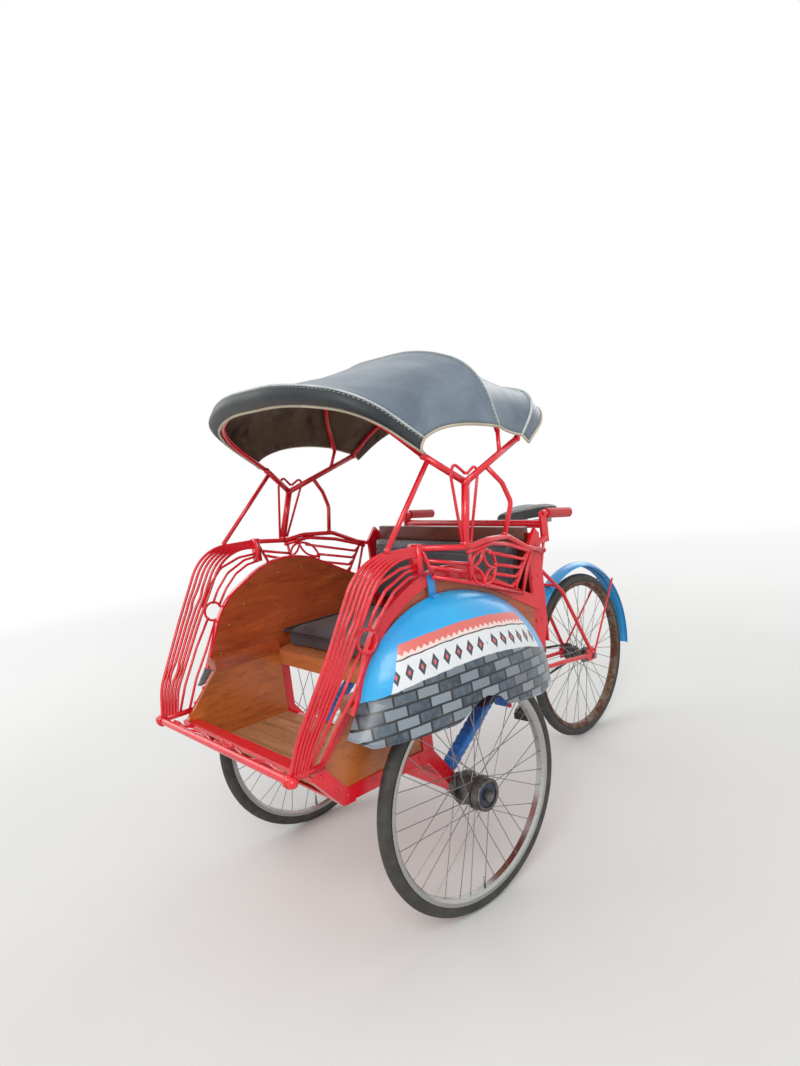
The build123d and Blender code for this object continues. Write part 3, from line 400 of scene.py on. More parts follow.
VISOR = vinyl("visor_vinyl", rgb(24, 30, 34), rgb(80, 88, 92), grain_mm=1.6, dust=0.26, gloss=(0.46, 0.62))
LINING = woven("hood_lining", rgb(104, 84, 62), rgb(82, 64, 46), rgb(44, 34, 26))
PIPING = woven("cream_piping", rgb(206, 196, 174), rgb(176, 162, 136), rgb(112, 98, 78), 0.62)
THREAD = woven("pale_thread", rgb(208, 214, 212), rgb(170, 178, 176), rgb(112, 112, 108), 0.66)
CHROME = metal("chromed_rim", rgb(186, 186, 184), rgb(112, 92, 74), 0.36, (0.14, 0.36))
RUSTY = metal("rusty_rim", rgb(128, 116, 106), rgb(96, 58, 40), 0.6, (0.3, 0.55))
STEEL = metal("bare_steel", rgb(150, 150, 148), rgb(96, 78, 64), 0.4, (0.26, 0.48))
GREASY = metal("greasy_hub", rgb(128, 128, 126), rgb(84, 76, 68), 0.5, (0.34, 0.6), 0.7, rgb(52, 51, 50))
CHAIN = metal("oily_chain", rgb(92, 84, 76), rgb(70, 46, 32), 0.5, (0.3, 0.5), 0.85, rgb(28, 25, 23))
BRASS = metal("screw_heads", rgb(196, 158, 92), rgb(120, 86, 48), 0.4, (0.25, 0.45))
TYRE = rubber("tyre_rubber", rgb(42, 42, 42), rgb(100, 96, 88))
GRIP = rubber("grip_rubber", rgb(190, 36, 48), rgb(196, 110, 108), 0.3, (0.4, 0.6))
PEDAL = rubber("pedal_rubber", rgb(30, 30, 30), rgb(92, 84, 74), 0.4)
TAPE = painted("blue_tape", rgb(22, 124, 216), rgb(12, 82, 164), rgb(20, 40, 76), chips=0.66, gloss=(0.3, 0.5))
# Darker blue for painted shade on the taped springs, where they run up under the mudguard and forward under the axle
# beam; the front hubs' dishes take the same colour
PAINTED_SHADE_BLUE = painted("painted_shade_blue", rgb(20, 44, 84), rgb(14, 22, 38), rgb(18, 20, 26), chips=0.56, gloss=(0.35, 0.55))

FINISH = {
    "tub_frame": RED, "tub_sides": TUB, "floor_planks": FLOOR, "ledges": WALL, "side_walls": WALL, "arch_bands": RED,
    "corner_plates": RED, "seat_board": CROSS, "back_wall": RAIL, "seat_frame": RED, "axle": RED, "front_bar": RED,
    "fender_hangers": SKY, "steering_post": RED, "handlebar": RED, "grips": GRIP, "rear_frame": RED, "rear_axle": STEEL,
    "seat_post": STEEL, "rear_guard": SKY, "guard_stays": RED, "crankset": STEEL, "pedal_left": PEDAL,
    "pedal_right": PEDAL, "left_rim": CHROME, "right_rim": CHROME, "rear_rim": RUSTY, "left_hub": GREASY,
    "right_hub": GREASY, "rear_hub": GREASY,
}


def dress(node, material):
    data = NODES[node].data
    data.materials.clear()
    data.materials.append(material)


def dress_where(node, test, material):
    """Gives the faces whose middle passes the test a second material."""
    data = NODES[node].data
    data.materials.append(material)
    last = len(data.materials) - 1
    for face in data.polygons:
        if test(face.center):
            face.material_index = last


# Geometry helpers

def lerp(a, b, t):
    return tuple(p + (q - p) * t for p, q in zip(a, b))


def clamp(value, low, high):
    return max(low, min(high, value))


def mesh_object(name, points, faces, material, body, smooth=True):
    mesh = bpy.data.meshes.new(name)
    mesh.from_pydata([tuple(p) for p in points], [], faces)
    mesh.materials.append(material)
    mesh.validate()
    mesh.polygons.foreach_set("use_smooth", [smooth] * len(mesh.polygons))
    obj = bpy.data.objects.new(name, mesh)
    bpy.context.scene.collection.objects.link(obj)
    if body:
        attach(obj, body)
    return obj


def stands_for(obj, node, body=None):
    """Hides the CAD node that the object stands in for, and puts the object on a body it doesn't ride yet where one is
    given.
    """
    if body:
        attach(obj, body)
    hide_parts(node)


def rounded(corners, radii, steps=10):
    """An open line through the corners, each inner one rounded."""
    corners = [Vector(c) for c in corners]
    line = [corners[0]]
    for before, corner, after, radius in zip(corners, corners[1:], corners[2:], radii):
        a, b = (before - corner).normalized(), (after - corner).normalized()
        half = a.angle(b) / 2
        hub = corner + (a + b).normalized() * radius / math.sin(half)
        start, end = (corner + way * radius / math.tan(half) - hub for way in (a, b))
        turn = start.angle(end)
        for k in range(steps + 1):
            t = k / steps
            line.append(hub + (start * math.sin((1 - t) * turn) + end * math.sin(t * turn)) / math.sin(turn))
    return [*line, corners[-1]]


def resampled(line, count):
    """The same line as `count` evenly spaced points."""
    runs = [0.0]
    for a, b in zip(line, line[1:]):
        runs.append(runs[-1] + (b - a).length)
    found, k = [], 0
    for i in range(count):
        want = runs[-1] * i / (count - 1)
        while k < len(runs) - 2 and runs[k + 1] < want:
            k += 1
        span = runs[k + 1] - runs[k]
        found.append(line[k].lerp(line[k + 1], (want - runs[k]) / span if span else 0))
    return found


def frames(line):
    """Two directions across the line at each point, turning as little as they can."""
    side = None
    found = []
    for k in range(len(line)):
        ahead = (line[min(k + 1, len(line) - 1)] - line[max(k - 1, 0)]).normalized()
        if side is None:
            side = ahead.orthogonal()
        side = (side - ahead * side.dot(ahead)).normalized()
        found.append((side, ahead.cross(side)))
    return found


def ring_faces(rings, sides, closed=False):
    """Quads between rings of points in a row, the last joined to the first where closed."""
    faces = []
    for i in range(rings if closed else rings - 1):
        n = (i + 1) % rings
        for k in range(sides):
            j = (k + 1) % sides
            faces.append((i * sides + k, i * sides + j, n * sides + j, n * sides + k))
    return faces


def tube_faces(rings, sides):
    """Quads round a tube, and a face over each of its ends."""
    caps = [tuple(reversed(range(sides))), tuple((rings - 1) * sides + k for k in range(sides))]
    return ring_faces(rings, sides) + caps


def tube_parts(line, radius, sides=8):
    points = []
    for spot, (a, b) in zip(line, frames(line)):
        for k in range(sides):
            turn = 2 * math.pi * k / sides
            points.append(spot + (a * math.cos(turn) + b * math.sin(turn)) * radius)
    return points, tube_faces(len(line), sides)


def gather(parts):
    """Joins (points, faces) pairs into one."""
    points, faces = [], []
    for some, loops in parts:
        base = len(points)
        points += some
        faces += [tuple(base + i for i in loop) for loop in loops]
    return points, faces


def placed(line, side=1):
    """Points given in millimetres on the left side, put on the left (1) or right (-1) of the cab."""
    return [at(side * p.x, p.y, p.z) for p in line]


def tube(name, line, radius, material, body, sides=8):
    return mesh_object(name, *tube_parts(line, radius, sides), material, body)


def dome_parts(spot, way, radius, height, sides=10):
    """Low round head standing on `spot` along `way`."""
    a = way.orthogonal().normalized()
    b = way.cross(a)
    points = []
    for share, lift in ((1.0, 0.0), (1.0, 0.35), (0.8, 0.78), (0.42, 1.0)):
        for k in range(sides):
            turn = 2 * math.pi * k / sides
            points.append(spot + (a * math.cos(turn) + b * math.sin(turn)) * radius * share + way * height * lift)
    ends = [tuple(3 * sides + k for k in range(sides)), tuple(reversed(range(sides)))]
    return points, ring_faces(4, sides) + ends


def heads(name, spots, radius, height, material, body):
    """Screw or bolt heads at (place, direction) spots, as one piece."""
    parts = [dome_parts(spot, Vector(way).normalized(), radius / 1000, height / 1000) for spot, way in spots]
    return mesh_object(name, *gather(parts), material, body)


def box_parts(spot, x, y, z):
    """Small block with half extents given as vectors."""
    points = [spot + x * i + y * j + z * k for k in (-1, 1) for i, j in ((-1, -1), (1, -1), (1, 1), (-1, 1))]
    return points, [(3, 2, 1, 0), (4, 5, 6, 7), (0, 1, 5, 4), (1, 2, 6, 5), (2, 3, 7, 6), (3, 0, 4, 7)]


# Canopy: (half width, (y, z) of its feet, (y, z) of its crown) for each section, front lip to rear lip
BOWS = (
    (427.0, (-33.0, 1339.0), (-281.0, 1516.0)),
    (437.0, (-44.0, 1360.0), (-314.0, 1550.0)),
    (430.0, (-24.0, 1378.0), (-299.0, 1575.0)),
    (424.0, (105.0, 1404.0), (-34.0, 1598.0)),
    (430.0, (287.0, 1385.0), (225.0, 1659.0)),
    (424.0, (335.0, 1366.0), (392.0, 1572.0)),
    (430.0, (385.0, 1352.0), (572.0, 1526.0)),
    (432.0, (412.0, 1326.0), (628.0, 1468.0)),
)
BOW_SHOULDER = (0.955, 0.70)
BOW_CROWN = 0.42
BOW_BENDS = (0.42, 1.40)
HOOD_ACROSS = 61
SEAM_DASHES = 190
# Runs of sections that the cover follows smoothly, and the rows in each; seams lie between the runs
HOOD_RUNS = ((0, 1, 2, 8), (2, 3, 4, 20), (4, 5, 6, 16), (6, None, 7, 5))


def bow_line(half, feet, crown):
    rise = math.dist(feet, crown)
    knee_x, knee_h = BOW_SHOULDER
    corners = [(half, 0), (half * knee_x, rise * knee_h), (half * BOW_CROWN, rise)]
    corners += [(-x, h) for x, h in reversed(corners)]
    radii = [half * b for b in BOW_BENDS + BOW_BENDS[::-1]]
    return [at(p.x, *lerp(feet, crown, p.y / rise)) for p in resampled(rounded(corners, radii), HOOD_ACROSS)]


def through(a, b, c, t, m):
    """A smooth line through a at 0, b at m and c at 1."""
    return a * ((t - m) * (t - 1) / m) + b * (t * (t - 1) / (m * (m - 1))) + c * (t * (t - m) / (1 - m))


def hood_rows():
    lines = [bow_line(*bow) for bow in BOWS]
    rows, seams = [lines[0]], [0]
    for first, mid, last, count in HOOD_RUNS:
        if mid is not None:
            before = math.dist(BOWS[first][2], BOWS[mid][2])
            share = before / (before + math.dist(BOWS[mid][2], BOWS[last][2]))
        for k in range(1, count + 1):
            t = k / count
            if mid is None:
                rows.append([a.lerp(c, t) for a, c in zip(lines[first], lines[last])])
            else:
                rows.append([through(a, b, c, t, share) for a, b, c in zip(lines[first], lines[mid], lines[last])])
        seams.append(len(rows) - 1)
    return rows, seams


def outward(rows, centre):
    """Unit direction away from the middle of the hood at every point of a grid."""
    found = []
    for i, row in enumerate(rows):
        found.append([])
        for j, spot in enumerate(row):
            across = row[min(j + 1, len(row) - 1)] - row[max(j - 1, 0)]
            along = rows[min(i + 1, len(rows) - 1)][j] - rows[max(i - 1, 0)][j]
            way = across.cross(along).normalized()
            found[-1].append(way if way.dot(spot - centre) > 0 else -way)
    return found


def moved(rows, ways, by):
    return [[p + w * by for p, w in zip(row, way)] for row, way in zip(rows, ways)]


def shell_parts(outer, inner):
    """Closed sheet between two grids of the same size."""
    wide, tall = len(outer[0]), len(outer)
    points = [p for row in outer for p in row] + [p for row in inner for p in row]
    back = wide * tall
    faces = []
    for i in range(tall - 1):
        for j in range(wide - 1):
            a, b, c, d = i * wide + j, i * wide + j + 1, (i + 1) * wide + j + 1, (i + 1) * wide + j
            faces += [(a, d, c, b), (back + a, back + b, back + c, back + d)]
    rim = [(0, j) for j in range(wide)] + [(i, wide - 1) for i in range(1, tall)]
    rim += [(tall - 1, j) for j in range(wide - 2, -1, -1)] + [(i, 0) for i in range(tall - 2, 0, -1)]
    ids = [i * wide + j for i, j in rim]
    for a, b in zip(ids, ids[1:] + ids[:1]):
        faces.append((a, b, back + b, back + a))
    return points, faces


def cloth_area(rows):
    total = 0.0
    for a, b in zip(rows, rows[1:]):
        for j in range(len(a) - 1):
            total += ((a[j + 1] - a[j]).cross(b[j] - a[j])).length / 2
            total += ((b[j + 1] - b[j]).cross(b[j + 1] - a[j + 1])).length / 2
    return total


def cut_size(rows):
    """Largest width and length of the flat piece."""
    across = max(sum((b - a).length for a, b in zip(row, row[1:])) for row in rows)
    along = max(sum((b[j] - a[j]).length for a, b in zip(rows, rows[1:])) for j in range(len(rows[0])))
    return round(across + 0.004, 3), round(along + 0.004, 3)


def make_hood():
    rows, seams = hood_rows()
    centre = at(0, 150, 1380)
    ways = outward(rows, centre)
    # Slack between the bows: shallow puckers that die out at the seams and along the edges
    for i, row in enumerate(rows):
        free = min(abs(i - s) for s in seams) / 6
        for j, spot in enumerate(row):
            edge = min(j, len(row) - 1 - j) / 8
            amount = min(1.0, free) * min(1.0, edge)
            pucker = noise.noise(Vector((spot.x * 5, spot.y * 9, spot.z * 5))) * 0.004
            row[j] = spot + ways[i][j] * (pucker * amount - 0.0008)
    ways = outward(rows, centre)
    visor_rows = seams[1] + 1
    under = moved(rows, ways, -0.002)
    lip = [p + w * 0.0006 for p, w in zip(rows[0], ways[0])]
    tail = [p + w * 0.0004 for p, w in zip(rows[-1], ways[-1])]
    tube("hood_lip_piping", lip, 0.0048, PIPING, "cab", 10)
    tube("hood_tail_piping", tail, 0.0038, PIPING, "cab", 8)
    for name, j in (("left", 0), ("right", -1)):
        side = [row[j] + way[j] * 0.0002 for row, way in zip(rows, ways)]
        tube(f"hood_{name}_edge_piping", side, 0.0042, PIPING, "cab", 8)
    for name, s, radius in (("front", seams[1], 0.0034), ("middle", seams[2], 0.0022), ("rear", seams[3], 0.0040)):
        line = [p + w * 0.0008 for p, w in zip(rows[s], ways[s])]
        tube(f"hood_{name}_welt", line, radius, THREAD, "cab", 8)
    stitches("hood_stitches", rows, ways, seams[1:4])
    cover_rows, cover_under = rows[visor_rows - 1:], under[visor_rows - 1:]
    cover = mesh_object("hood_cover", *shell_parts(cover_rows, cover_under), HOOD, "cab")
    visor = mesh_object("hood_visor", *shell_parts(rows[:visor_rows], under[:visor_rows]), VISOR, "cab")
    stands_for(cover, "canopy")
    cut_size(cover_rows)
    cloth_area(cover_rows)
    cut_size(rows[:visor_rows])
    cloth_area(rows[:visor_rows])
    lining_rows = moved(rows, ways, -0.0032)
    lining = mesh_object("hood_lining", *shell_parts(lining_rows, moved(rows, ways, -0.0046)), LINING, "cab")
    cut_size(lining_rows)
    cloth_area(lining_rows)


def stitches(name, rows, ways, seams):
    """Dashes of thread on both sides of the seams."""
    parts = []
    for s in seams:
        for near in (s - 1, s + 1):
            share = 0.008 / max((rows[near][HOOD_ACROSS // 2] - rows[s][HOOD_ACROSS // 2]).length, 0.001)
            line = [a.lerp(b, share) + w * 0.0012 for a, b, w in zip(rows[s], rows[near], ways[s])]
            dashes = resampled(line, SEAM_DASHES)
            for k in range(0, SEAM_DASHES - 2, 2):
                a, b = dashes[k], dashes[k].lerp(dashes[k + 1], 0.9)
                along = (b - a) / 2
                up = ways[s][min(HOOD_ACROSS - 1, k * HOOD_ACROSS // SEAM_DASHES)] * 0.0005
                parts.append(box_parts((a + b) / 2, along, along.cross(up).normalized() * 0.0007, up))
    return mesh_object(name, *gather(parts), THREAD, "cab", smooth=False)


# Bent-rod work and mudguards, drawn finer than their CAD nodes. A point of three is (out from the wall, y, z), one
# of two is (y, z)

GRILLE_RODS = 6
GRILLE_OUTER = ((-556.0, 590.0), (-534.0, 684.0), (-432.0, 869.0), (-308.0, 1096.0), (-100.0, 1090.0))
GRILLE_INNER = ((-506.0, 590.0), (-482.0, 664.0), (-365.0, 850.0), (-222.0, 1078.0), (-100.0, 1066.0))
GRILLE_BENDS = (200.0, 400.0, 150.0)
GRILLE_LEAN = ((590.0, -24.5), (740.0, 14.0), (900.0, 28.0), (1000.0, 31.0), (1100.0, 38.0))
GRILLE_SPREAD = (
    ((-100, 1044), (-172, 1043), (-248, 1020), (-304, 965), (-336, 905)),
    ((-100, 1034), (-153, 1030), (-226, 998), (-273, 948), (-296, 910)),
    ((-100, 1017), (-145, 1012), (-195, 989), (-241, 946), (-276, 896)),
)
GRILLE_UNDER = (
    ((-326, 862), (-386, 777), (-455, 670), (-495, 592)),
    ((-300, 852), (-354, 759), (-412, 680), (-462, 592)),
)
GRILLE_RING = (-302.0, 881.0)
EYES = (722.0, 938.0)
WAVE_HALF = 325
FRONT_BAR = (-557.0, 588.0)
TOP_RAIL = ((38, -94, 1086), (77, 52, 1063), (78, 133, 1071), (48, 250, 1059), (31, 354, 1006), (19.6, 447, 979))
SECOND_RAIL = ((75, 52, 1050), (72, 151, 1057), (44, 256, 1033), (30, 349, 999), (26, 376, 986))
SILL = ((35, -54, 998), (62, 59, 959), (51, 157, 926), (23.6, 323, 867))
LATTICE_RODS = (
    ((38, -90, 1083), (35, -54, 998)),
    ((76, 59, 1060), (62, 59, 960)),
    ((34, -75, 1048), (70, 59, 1013)),
    ((36, -67, 1030), (66, 59, 987)),
    ((71, 139, 1032), (29.5, 334, 972), (29, 349, 982)),
    ((56, 176, 988), (27.5, 315, 949), (27.5, 332, 959)),
    ((53, 168, 962), (26.5, 293, 925), (26.5, 314, 936)),
    ((54, 152, 944), (25.5, 272, 898), (26.5, 295, 910)),
    ((30, 362, 996), (28, 281, 884)),
    ((27, 378, 998), (23.6, 323, 867)),
)
DIAMOND = ((69.5, 62, 1003), (75.5, 110, 1044), (54, 179, 980), (62, 116, 940))
RAIL_BENDS = (60, 120, 60, 120)
POST_HEAD = (59.0, 87.0, 1242.0)
STAY_WAVE = ((60, 238, 1222), (66, 262, 1160))
POST_LOOPS = (
    ((76, 31, 1079), (50, 40, 1268), (46, 60, 1300), (54, 92, 1268)),
    ((77, 64, 1079), (56, 142, 1258), (53, 147, 1290), (55, 102, 1266)),
)
# Sections of the hood that a rod carries, and how far under the cover it lies
BOW_RODS = ((0, 16.0), (4, 15.6), (6, 15.6))


def off_wall(points):
    return [Vector((WALL_X + x, y, z)) for x, y, z in points]


def grille_line(points):
    spots = []
    for y, z in points:
        for (low, a), (high, b) in zip(GRILLE_LEAN, GRILLE_LEAN[1:]):
            if z <= high:
                break
        spots.append((a + (b - a) * (z - low) / (high - low), y, z))
    return off_wall(spots)


def grille_rod(t):
    return grille_line([lerp(a, b, t) for a, b in zip(GRILLE_OUTER, GRILLE_INNER)])


def ball_parts(spot, radius, sides=14):
    points, faces = [spot + Vector((0, 0, -radius))], []
    rings = sides // 2
    for i in range(1, rings):
        a = math.pi * i / rings
        for k in range(sides):
            b = 2 * math.pi * k / sides
            points.append(spot + Vector((math.sin(a) * math.cos(b), math.sin(a) * math.sin(b), -math.cos(a))) * radius)
    points.append(spot + Vector((0, 0, radius)))
    last = len(points) - 1
    for k in range(sides):
        j = (k + 1) % sides
        faces.append((0, 1 + j, 1 + k))
        faces.append((last, last - sides + k, last - sides + j))
        for i in range(rings - 2):
            faces.append((1 + i * sides + k, 1 + i * sides + j, 1 + (i + 1) * sides + j, 1 + (i + 1) * sides + k))
    return points, faces


def bar_parts(points, radius, bends=(), sides=12, shape=None):
    """One bent rod given in mm on the left side, drawn on both sides of the cab, with beads where it is welded."""
    if isinstance(bends, (int, float)):
        bends = [bends] * (len(points) - 2)
    line = rounded(points, bends, 36 if shape else 12) if len(points) > 2 else [Vector(p) for p in points]
    if len(line) == 2:
        line = resampled(line, 3)
    if shape:
        line = [shape(p) for p in resampled(line, 190)]
    made = []
    for side in (1, -1):
        way = placed(line, side)
        if side < 0:
            way.reverse()
        made.append(tube_parts(way, radius / 1000, sides))
        for end in (way[0], way[-1]):
            made.append(ball_parts(end, radius * 1.18 / 1000, 10))
    return made


def round_eyes(t):
    """Bows a rod of the bundle round two small eyes between its middle rods, as the photograph shows."""
    away = (t - 0.5) * 2
    push = math.copysign(8.5 * (1.12 - abs(away)) ** 1.5, away)

    def shape(p):
        for z in EYES:
            near = (p.z - z) / 34
            if abs(near) < 1:
                p = p + Vector((0, 0.87, 0.5)) * push * math.cos(near * math.pi / 2) ** 2
        return p

    return shape


def make_grilles():
    parts = []
    for k in range(GRILLE_RODS):
        t = k / (GRILLE_RODS - 1)
        parts += bar_parts(grille_rod(t), 5.0, GRILLE_BENDS, shape=round_eyes(t))
    for points in GRILLE_SPREAD + GRILLE_UNDER:
        parts += bar_parts(grille_line(points), 4.4, 40)
    hub = grille_line([GRILLE_RING])[0]
    loop = [Vector((hub.x, hub.y + 31 * math.cos(a), hub.z + 31 * math.sin(a)))
            for a in (2 * math.pi * k / 40 for k in range(41))]
    parts += ring_loop(loop, 4.2)
    foot = grille_rod(0)[0]
    for side in (1, -1):
        a, b = at(side * foot.x, FRONT_BAR[0], foot.z), at(side * foot.x, -450, foot.z)
        parts.append(box_parts((a + b) / 2, Vector((0.005, 0, 0)), (b - a) / 2, Vector((0, 0, 0.008))))
        a, b = at(side * (foot.x - 7), *FRONT_BAR), at(side * (foot.x + 7), *FRONT_BAR)
        parts.append(tube_parts([a, b], 0.0175, 24))
        x, y, z = side * (WALL_X + 26), -103.2, 1076
        parts.append(box_parts(at(x, y, z - 18), Vector((0.020, 0, 0)), Vector((0, 0.0068, 0)), Vector((0, 0, 0.040))))
    # Wavy rod welded along the front bar, round a small knot in its middle
    wave = []
    for k in range(121):
        x = WAVE_HALF * (k / 60 - 1)
        swing = math.sin(x / WAVE_HALF * math.pi * 3.5) * min(1.0, (WAVE_HALF - abs(x)) / 60)
        wave.append(at(x, -537 + 9 * swing, 590 - 3 * abs(swing)))
    parts.append(tube_parts(wave, 0.0042, 10))
    for x in (-26, 26):
        knot = [at(x + 20 * math.cos(a), -537 + 9 * math.sin(a), 592)
                for a in (2 * math.pi * k / 24 for k in range(25))]
        parts.append(tube_parts(knot, 0.0034, 8))
    wings = mesh_object("grille_rods", *gather(parts), RED, "cab")
    stands_for(wings, "grilles")


def ring_loop(line, radius):
    """Closed loops of rod on both sides of the cab."""
    made = []
    for side in (1, -1):
        way = placed(line[:-1], side)
        points, sides = [], 12
        middle_at = sum(way, Vector()) / len(way)
        for p in way:
            out = (p - middle_at).normalized()
            for k in range(sides):
                turn = 2 * math.pi * k / sides
                points.append(p + (out * math.cos(turn) + Vector((side, 0, 0)) * math.sin(turn)) * radius / 1000)
        made.append((points, ring_faces(len(way), sides, closed=True)))
    return made


def make_lattices():
    parts = bar_parts(off_wall(TOP_RAIL), 8.2, RAIL_BENDS) + bar_parts(off_wall(SECOND_RAIL), 6.8, 60)
    parts += bar_parts(off_wall(SILL), 6.2, 60)
    for points in LATTICE_RODS:
        parts += bar_parts(off_wall(points), 5.1, 10)
    corners = off_wall(DIAMOND)
    for a, b in zip(corners, corners[1:] + corners[:1]):
        mid = a.lerp(b, 0.5)
        for bow in (-0.2, 0.2):
            top = Vector((mid.x, mid.y + bow * (b.z - a.z), mid.z - bow * (b.y - a.y)))
            line = [a.lerp(b, t / 12) + (top - mid) * 4 * (t / 12) * (1 - t / 12) for t in range(13)]
            for side in (1, -1):
                parts.append(tube_parts(placed(line, side), 0.0044, 10))
    for p in corners:
        for side in (1, -1):
            parts.append(ball_parts(at(side * p.x, p.y, p.z), 0.0052, 10))
    sides = mesh_object("lattice_rods", *gather(parts), RED, "cab")
    stands_for(sides, "side_lattices")


def beside(points, gap):
    """The line that runs `gap` to the left of an open side-view line."""
    spots = [complex(*p) for p in points]
    sides = [1j * (b - a) / abs(b - a) for a, b in zip(spots, spots[1:])]
    sides = [sides[0], *sides, sides[-1]]
    found = []
    for spot, before, after in zip(spots, sides, sides[1:]):
        shift = spot + gap * (before + after) / (1 + (before * after.conjugate()).real)
        found.append((shift.real, shift.imag))
    return found


def bow_corners(k, gap):
    """Corners of the rod under section k, from its left foot over the crown."""
    half, feet, _ = BOWS[k]
    crown = beside([c for _, _, c in BOWS], -gap)[k]
    half -= gap
    place = [(half, 0.0), (half * BOW_SHOULDER[0], BOW_SHOULDER[1]), (half * BOW_CROWN, 1.0)]
    place += [(-x, h) for x, h in reversed(place)]
    corners = [Vector((x, *lerp(feet, crown, h))) for x, h in place]
    for end, above in ((0, 1), (-1, -2)):
        corners[end] += (corners[end] - corners[above]).normalized() * 14
    return corners


def top_rail_at(y):
    for a, b in zip(TOP_RAIL, TOP_RAIL[1:]):
        if a[1] <= y <= b[1]:
            return off_wall([lerp(a, b, (y - a[1]) / (b[1] - a[1]))])[0]


def make_hood_frame():
    parts = []
    for k, gap in BOW_RODS:
        half = BOWS[k][0]
        line = rounded(bow_corners(k, gap), [half * b for b in BOW_BENDS + BOW_BENDS[::-1]], 16)
        parts.append(tube_parts(placed(line), 0.008, 14))
    bows = mesh_object("hood_bows", *gather(parts), RED, "cab")
    stands_for(bows, "canopy_bows")
    head = off_wall([POST_HEAD])[0]
    front, mid, rear = (bow_corners(k, gap)[0] for k, gap in BOW_RODS)
    lift = Vector((0, 0, 9))
    parts = bar_parts([top_rail_at(42) + lift, head], 12.0)
    parts += bar_parts([head, front], 10.0) + bar_parts([head, rear], 10.0)
    rail = grille_rod(0)
    front_rail = rail[3].lerp(rail[4], 0.45) + Vector((6, 0, 9))
    parts += bar_parts([front_rail, head + (front - head) * 0.88], 7.5)
    wave_top = head + (rear - head) * 0.36
    parts += bar_parts([wave_top, *off_wall(STAY_WAVE), top_rail_at(238) + lift], 7.5, 40)
    parts += bar_parts([head + (rear - head) * 0.64, mid], 6.5)
    for points in POST_LOOPS:
        parts += bar_parts(off_wall(points), 4.4, 12)
    posts = mesh_object("hood_posts", *gather(parts), RED, "cab")
    stands_for(posts, "canopy_posts")


# Front mudguards: half an ellipsoid on the side wall, with a skirt that flares forwards under it
DOME_AXES = (168.0, 376.0, 309.0)
DOME_MID = (18.0, 632.0)
DOME_TILT = math.radians(16.2)
SKIRT_FLARE = 0.33
SKIRT_EDGE = ((-640, 700), (-403, 652), (-365, 627), (-137, 630), (-101, 646), (-62, 670), (-29, 676), (19, 661),
              (50, 627), (123, 613), (228, 593), (450, 588))
WALL_OFFSET = 17.6


def skirt_height(y):
    for a, b in zip(SKIRT_EDGE, SKIRT_EDGE[1:]):
        if y <= b[0]:
            return a[1] + (b[1] - a[1]) * (y - a[0]) / (b[0] - a[0])
    return SKIRT_EDGE[-1][1]


def dome_rows():
    ax, ay, az = DOME_AXES
    flare = SKIRT_FLARE * az / 2
    near = WALL_OFFSET / ax
    limit = math.acos(near) - 0.004
    columns = [limit * (k / 40 - 1) for k in range(81)]
    for k in range(1, 60):
        columns.append(math.atan(math.sin(math.radians(-90 + 3 * k)) * math.sqrt(1 - near * near) / near))
    columns = sorted(c for c in set(round(c, 5) for c in columns) if abs(c) <= limit)

    def place(x, y, z):
        c, s = math.cos(DOME_TILT), math.sin(DOME_TILT)
        return Vector((WALL_X + x, DOME_MID[0] + y * c + z * s, DOME_MID[1] - y * s + z * c))

    def skirt(turn, s):
        return place(ax * math.cos(turn), (ay + flare * s) * math.sin(turn) - flare * s, -az * s)

    grid = []
    for turn in columns:
        high = math.acos(min(1.0, near / math.cos(turn)))
        line = []
        low, top = 0.0, 1.0
        upper = place(ax * math.cos(turn), ay * math.sin(turn), 0)
        end = None
        if upper.z <= skirt_height(upper.y):
            # The edge already cuts the dome above its widest line
            a, b = 0.0, high
            for _ in range(30):
                m = (a + b) / 2
                p = place(ax * math.cos(m) * math.cos(turn), ay * math.cos(m) * math.sin(turn), az * math.sin(m))
                a, b = (m, b) if p.z <= skirt_height(p.y) else (a, m)
            end = b
        else:
            for _ in range(30):
                m = (low + top) / 2
                p = skirt(turn, m)
                low, top = (m, top) if p.z > skirt_height(p.y) else (low, m)
        for k in range(27):
            lift = high + ((end or 0.0) - high) * k / 26
            line.append(place(ax * math.cos(lift) * math.cos(turn), ay * math.cos(lift) * math.sin(turn),
                              az * math.sin(lift)))
        for k in range(1, 15):
            line.append(skirt(turn, low * k / 14) if end is None else line[-1].copy())
        grid.append(line)
    return [[grid[j][i] for j in range(len(grid))] for i in range(len(grid[0]))]


def make_mudguards():
    rows = dome_rows()
    parts = []
    for side in (1, -1):
        grid = [placed(row, side) for row in rows]
        ways = outward(grid, at(side * WALL_X, 18, 560))
        inner = moved(grid, ways, -0.0025)
        some, loops = shell_parts(grid, inner)
        if side < 0:
            loops = [tuple(reversed(loop)) for loop in loops]
        parts.append((some, loops))
        parts.append(tube_parts([p - w * 0.0012 for p, w in zip(grid[-1], ways[-1])][2:-2], 0.0026, 8))
    shells = mesh_object("mudguard_shells", *gather(parts), GUARD, "cab")
    stands_for(shells, "fenders")


# Cushions

def applied(obj):
    """Replaces the object's mesh with what its modifiers make of it."""
    got = obj.evaluated_get(bpy.context.evaluated_depsgraph_get())
    data = bpy.data.meshes.new_from_object(got)
    obj.modifiers.clear()
    obj.data = data
    data.polygons.foreach_set("use_smooth", [True] * len(data.polygons))


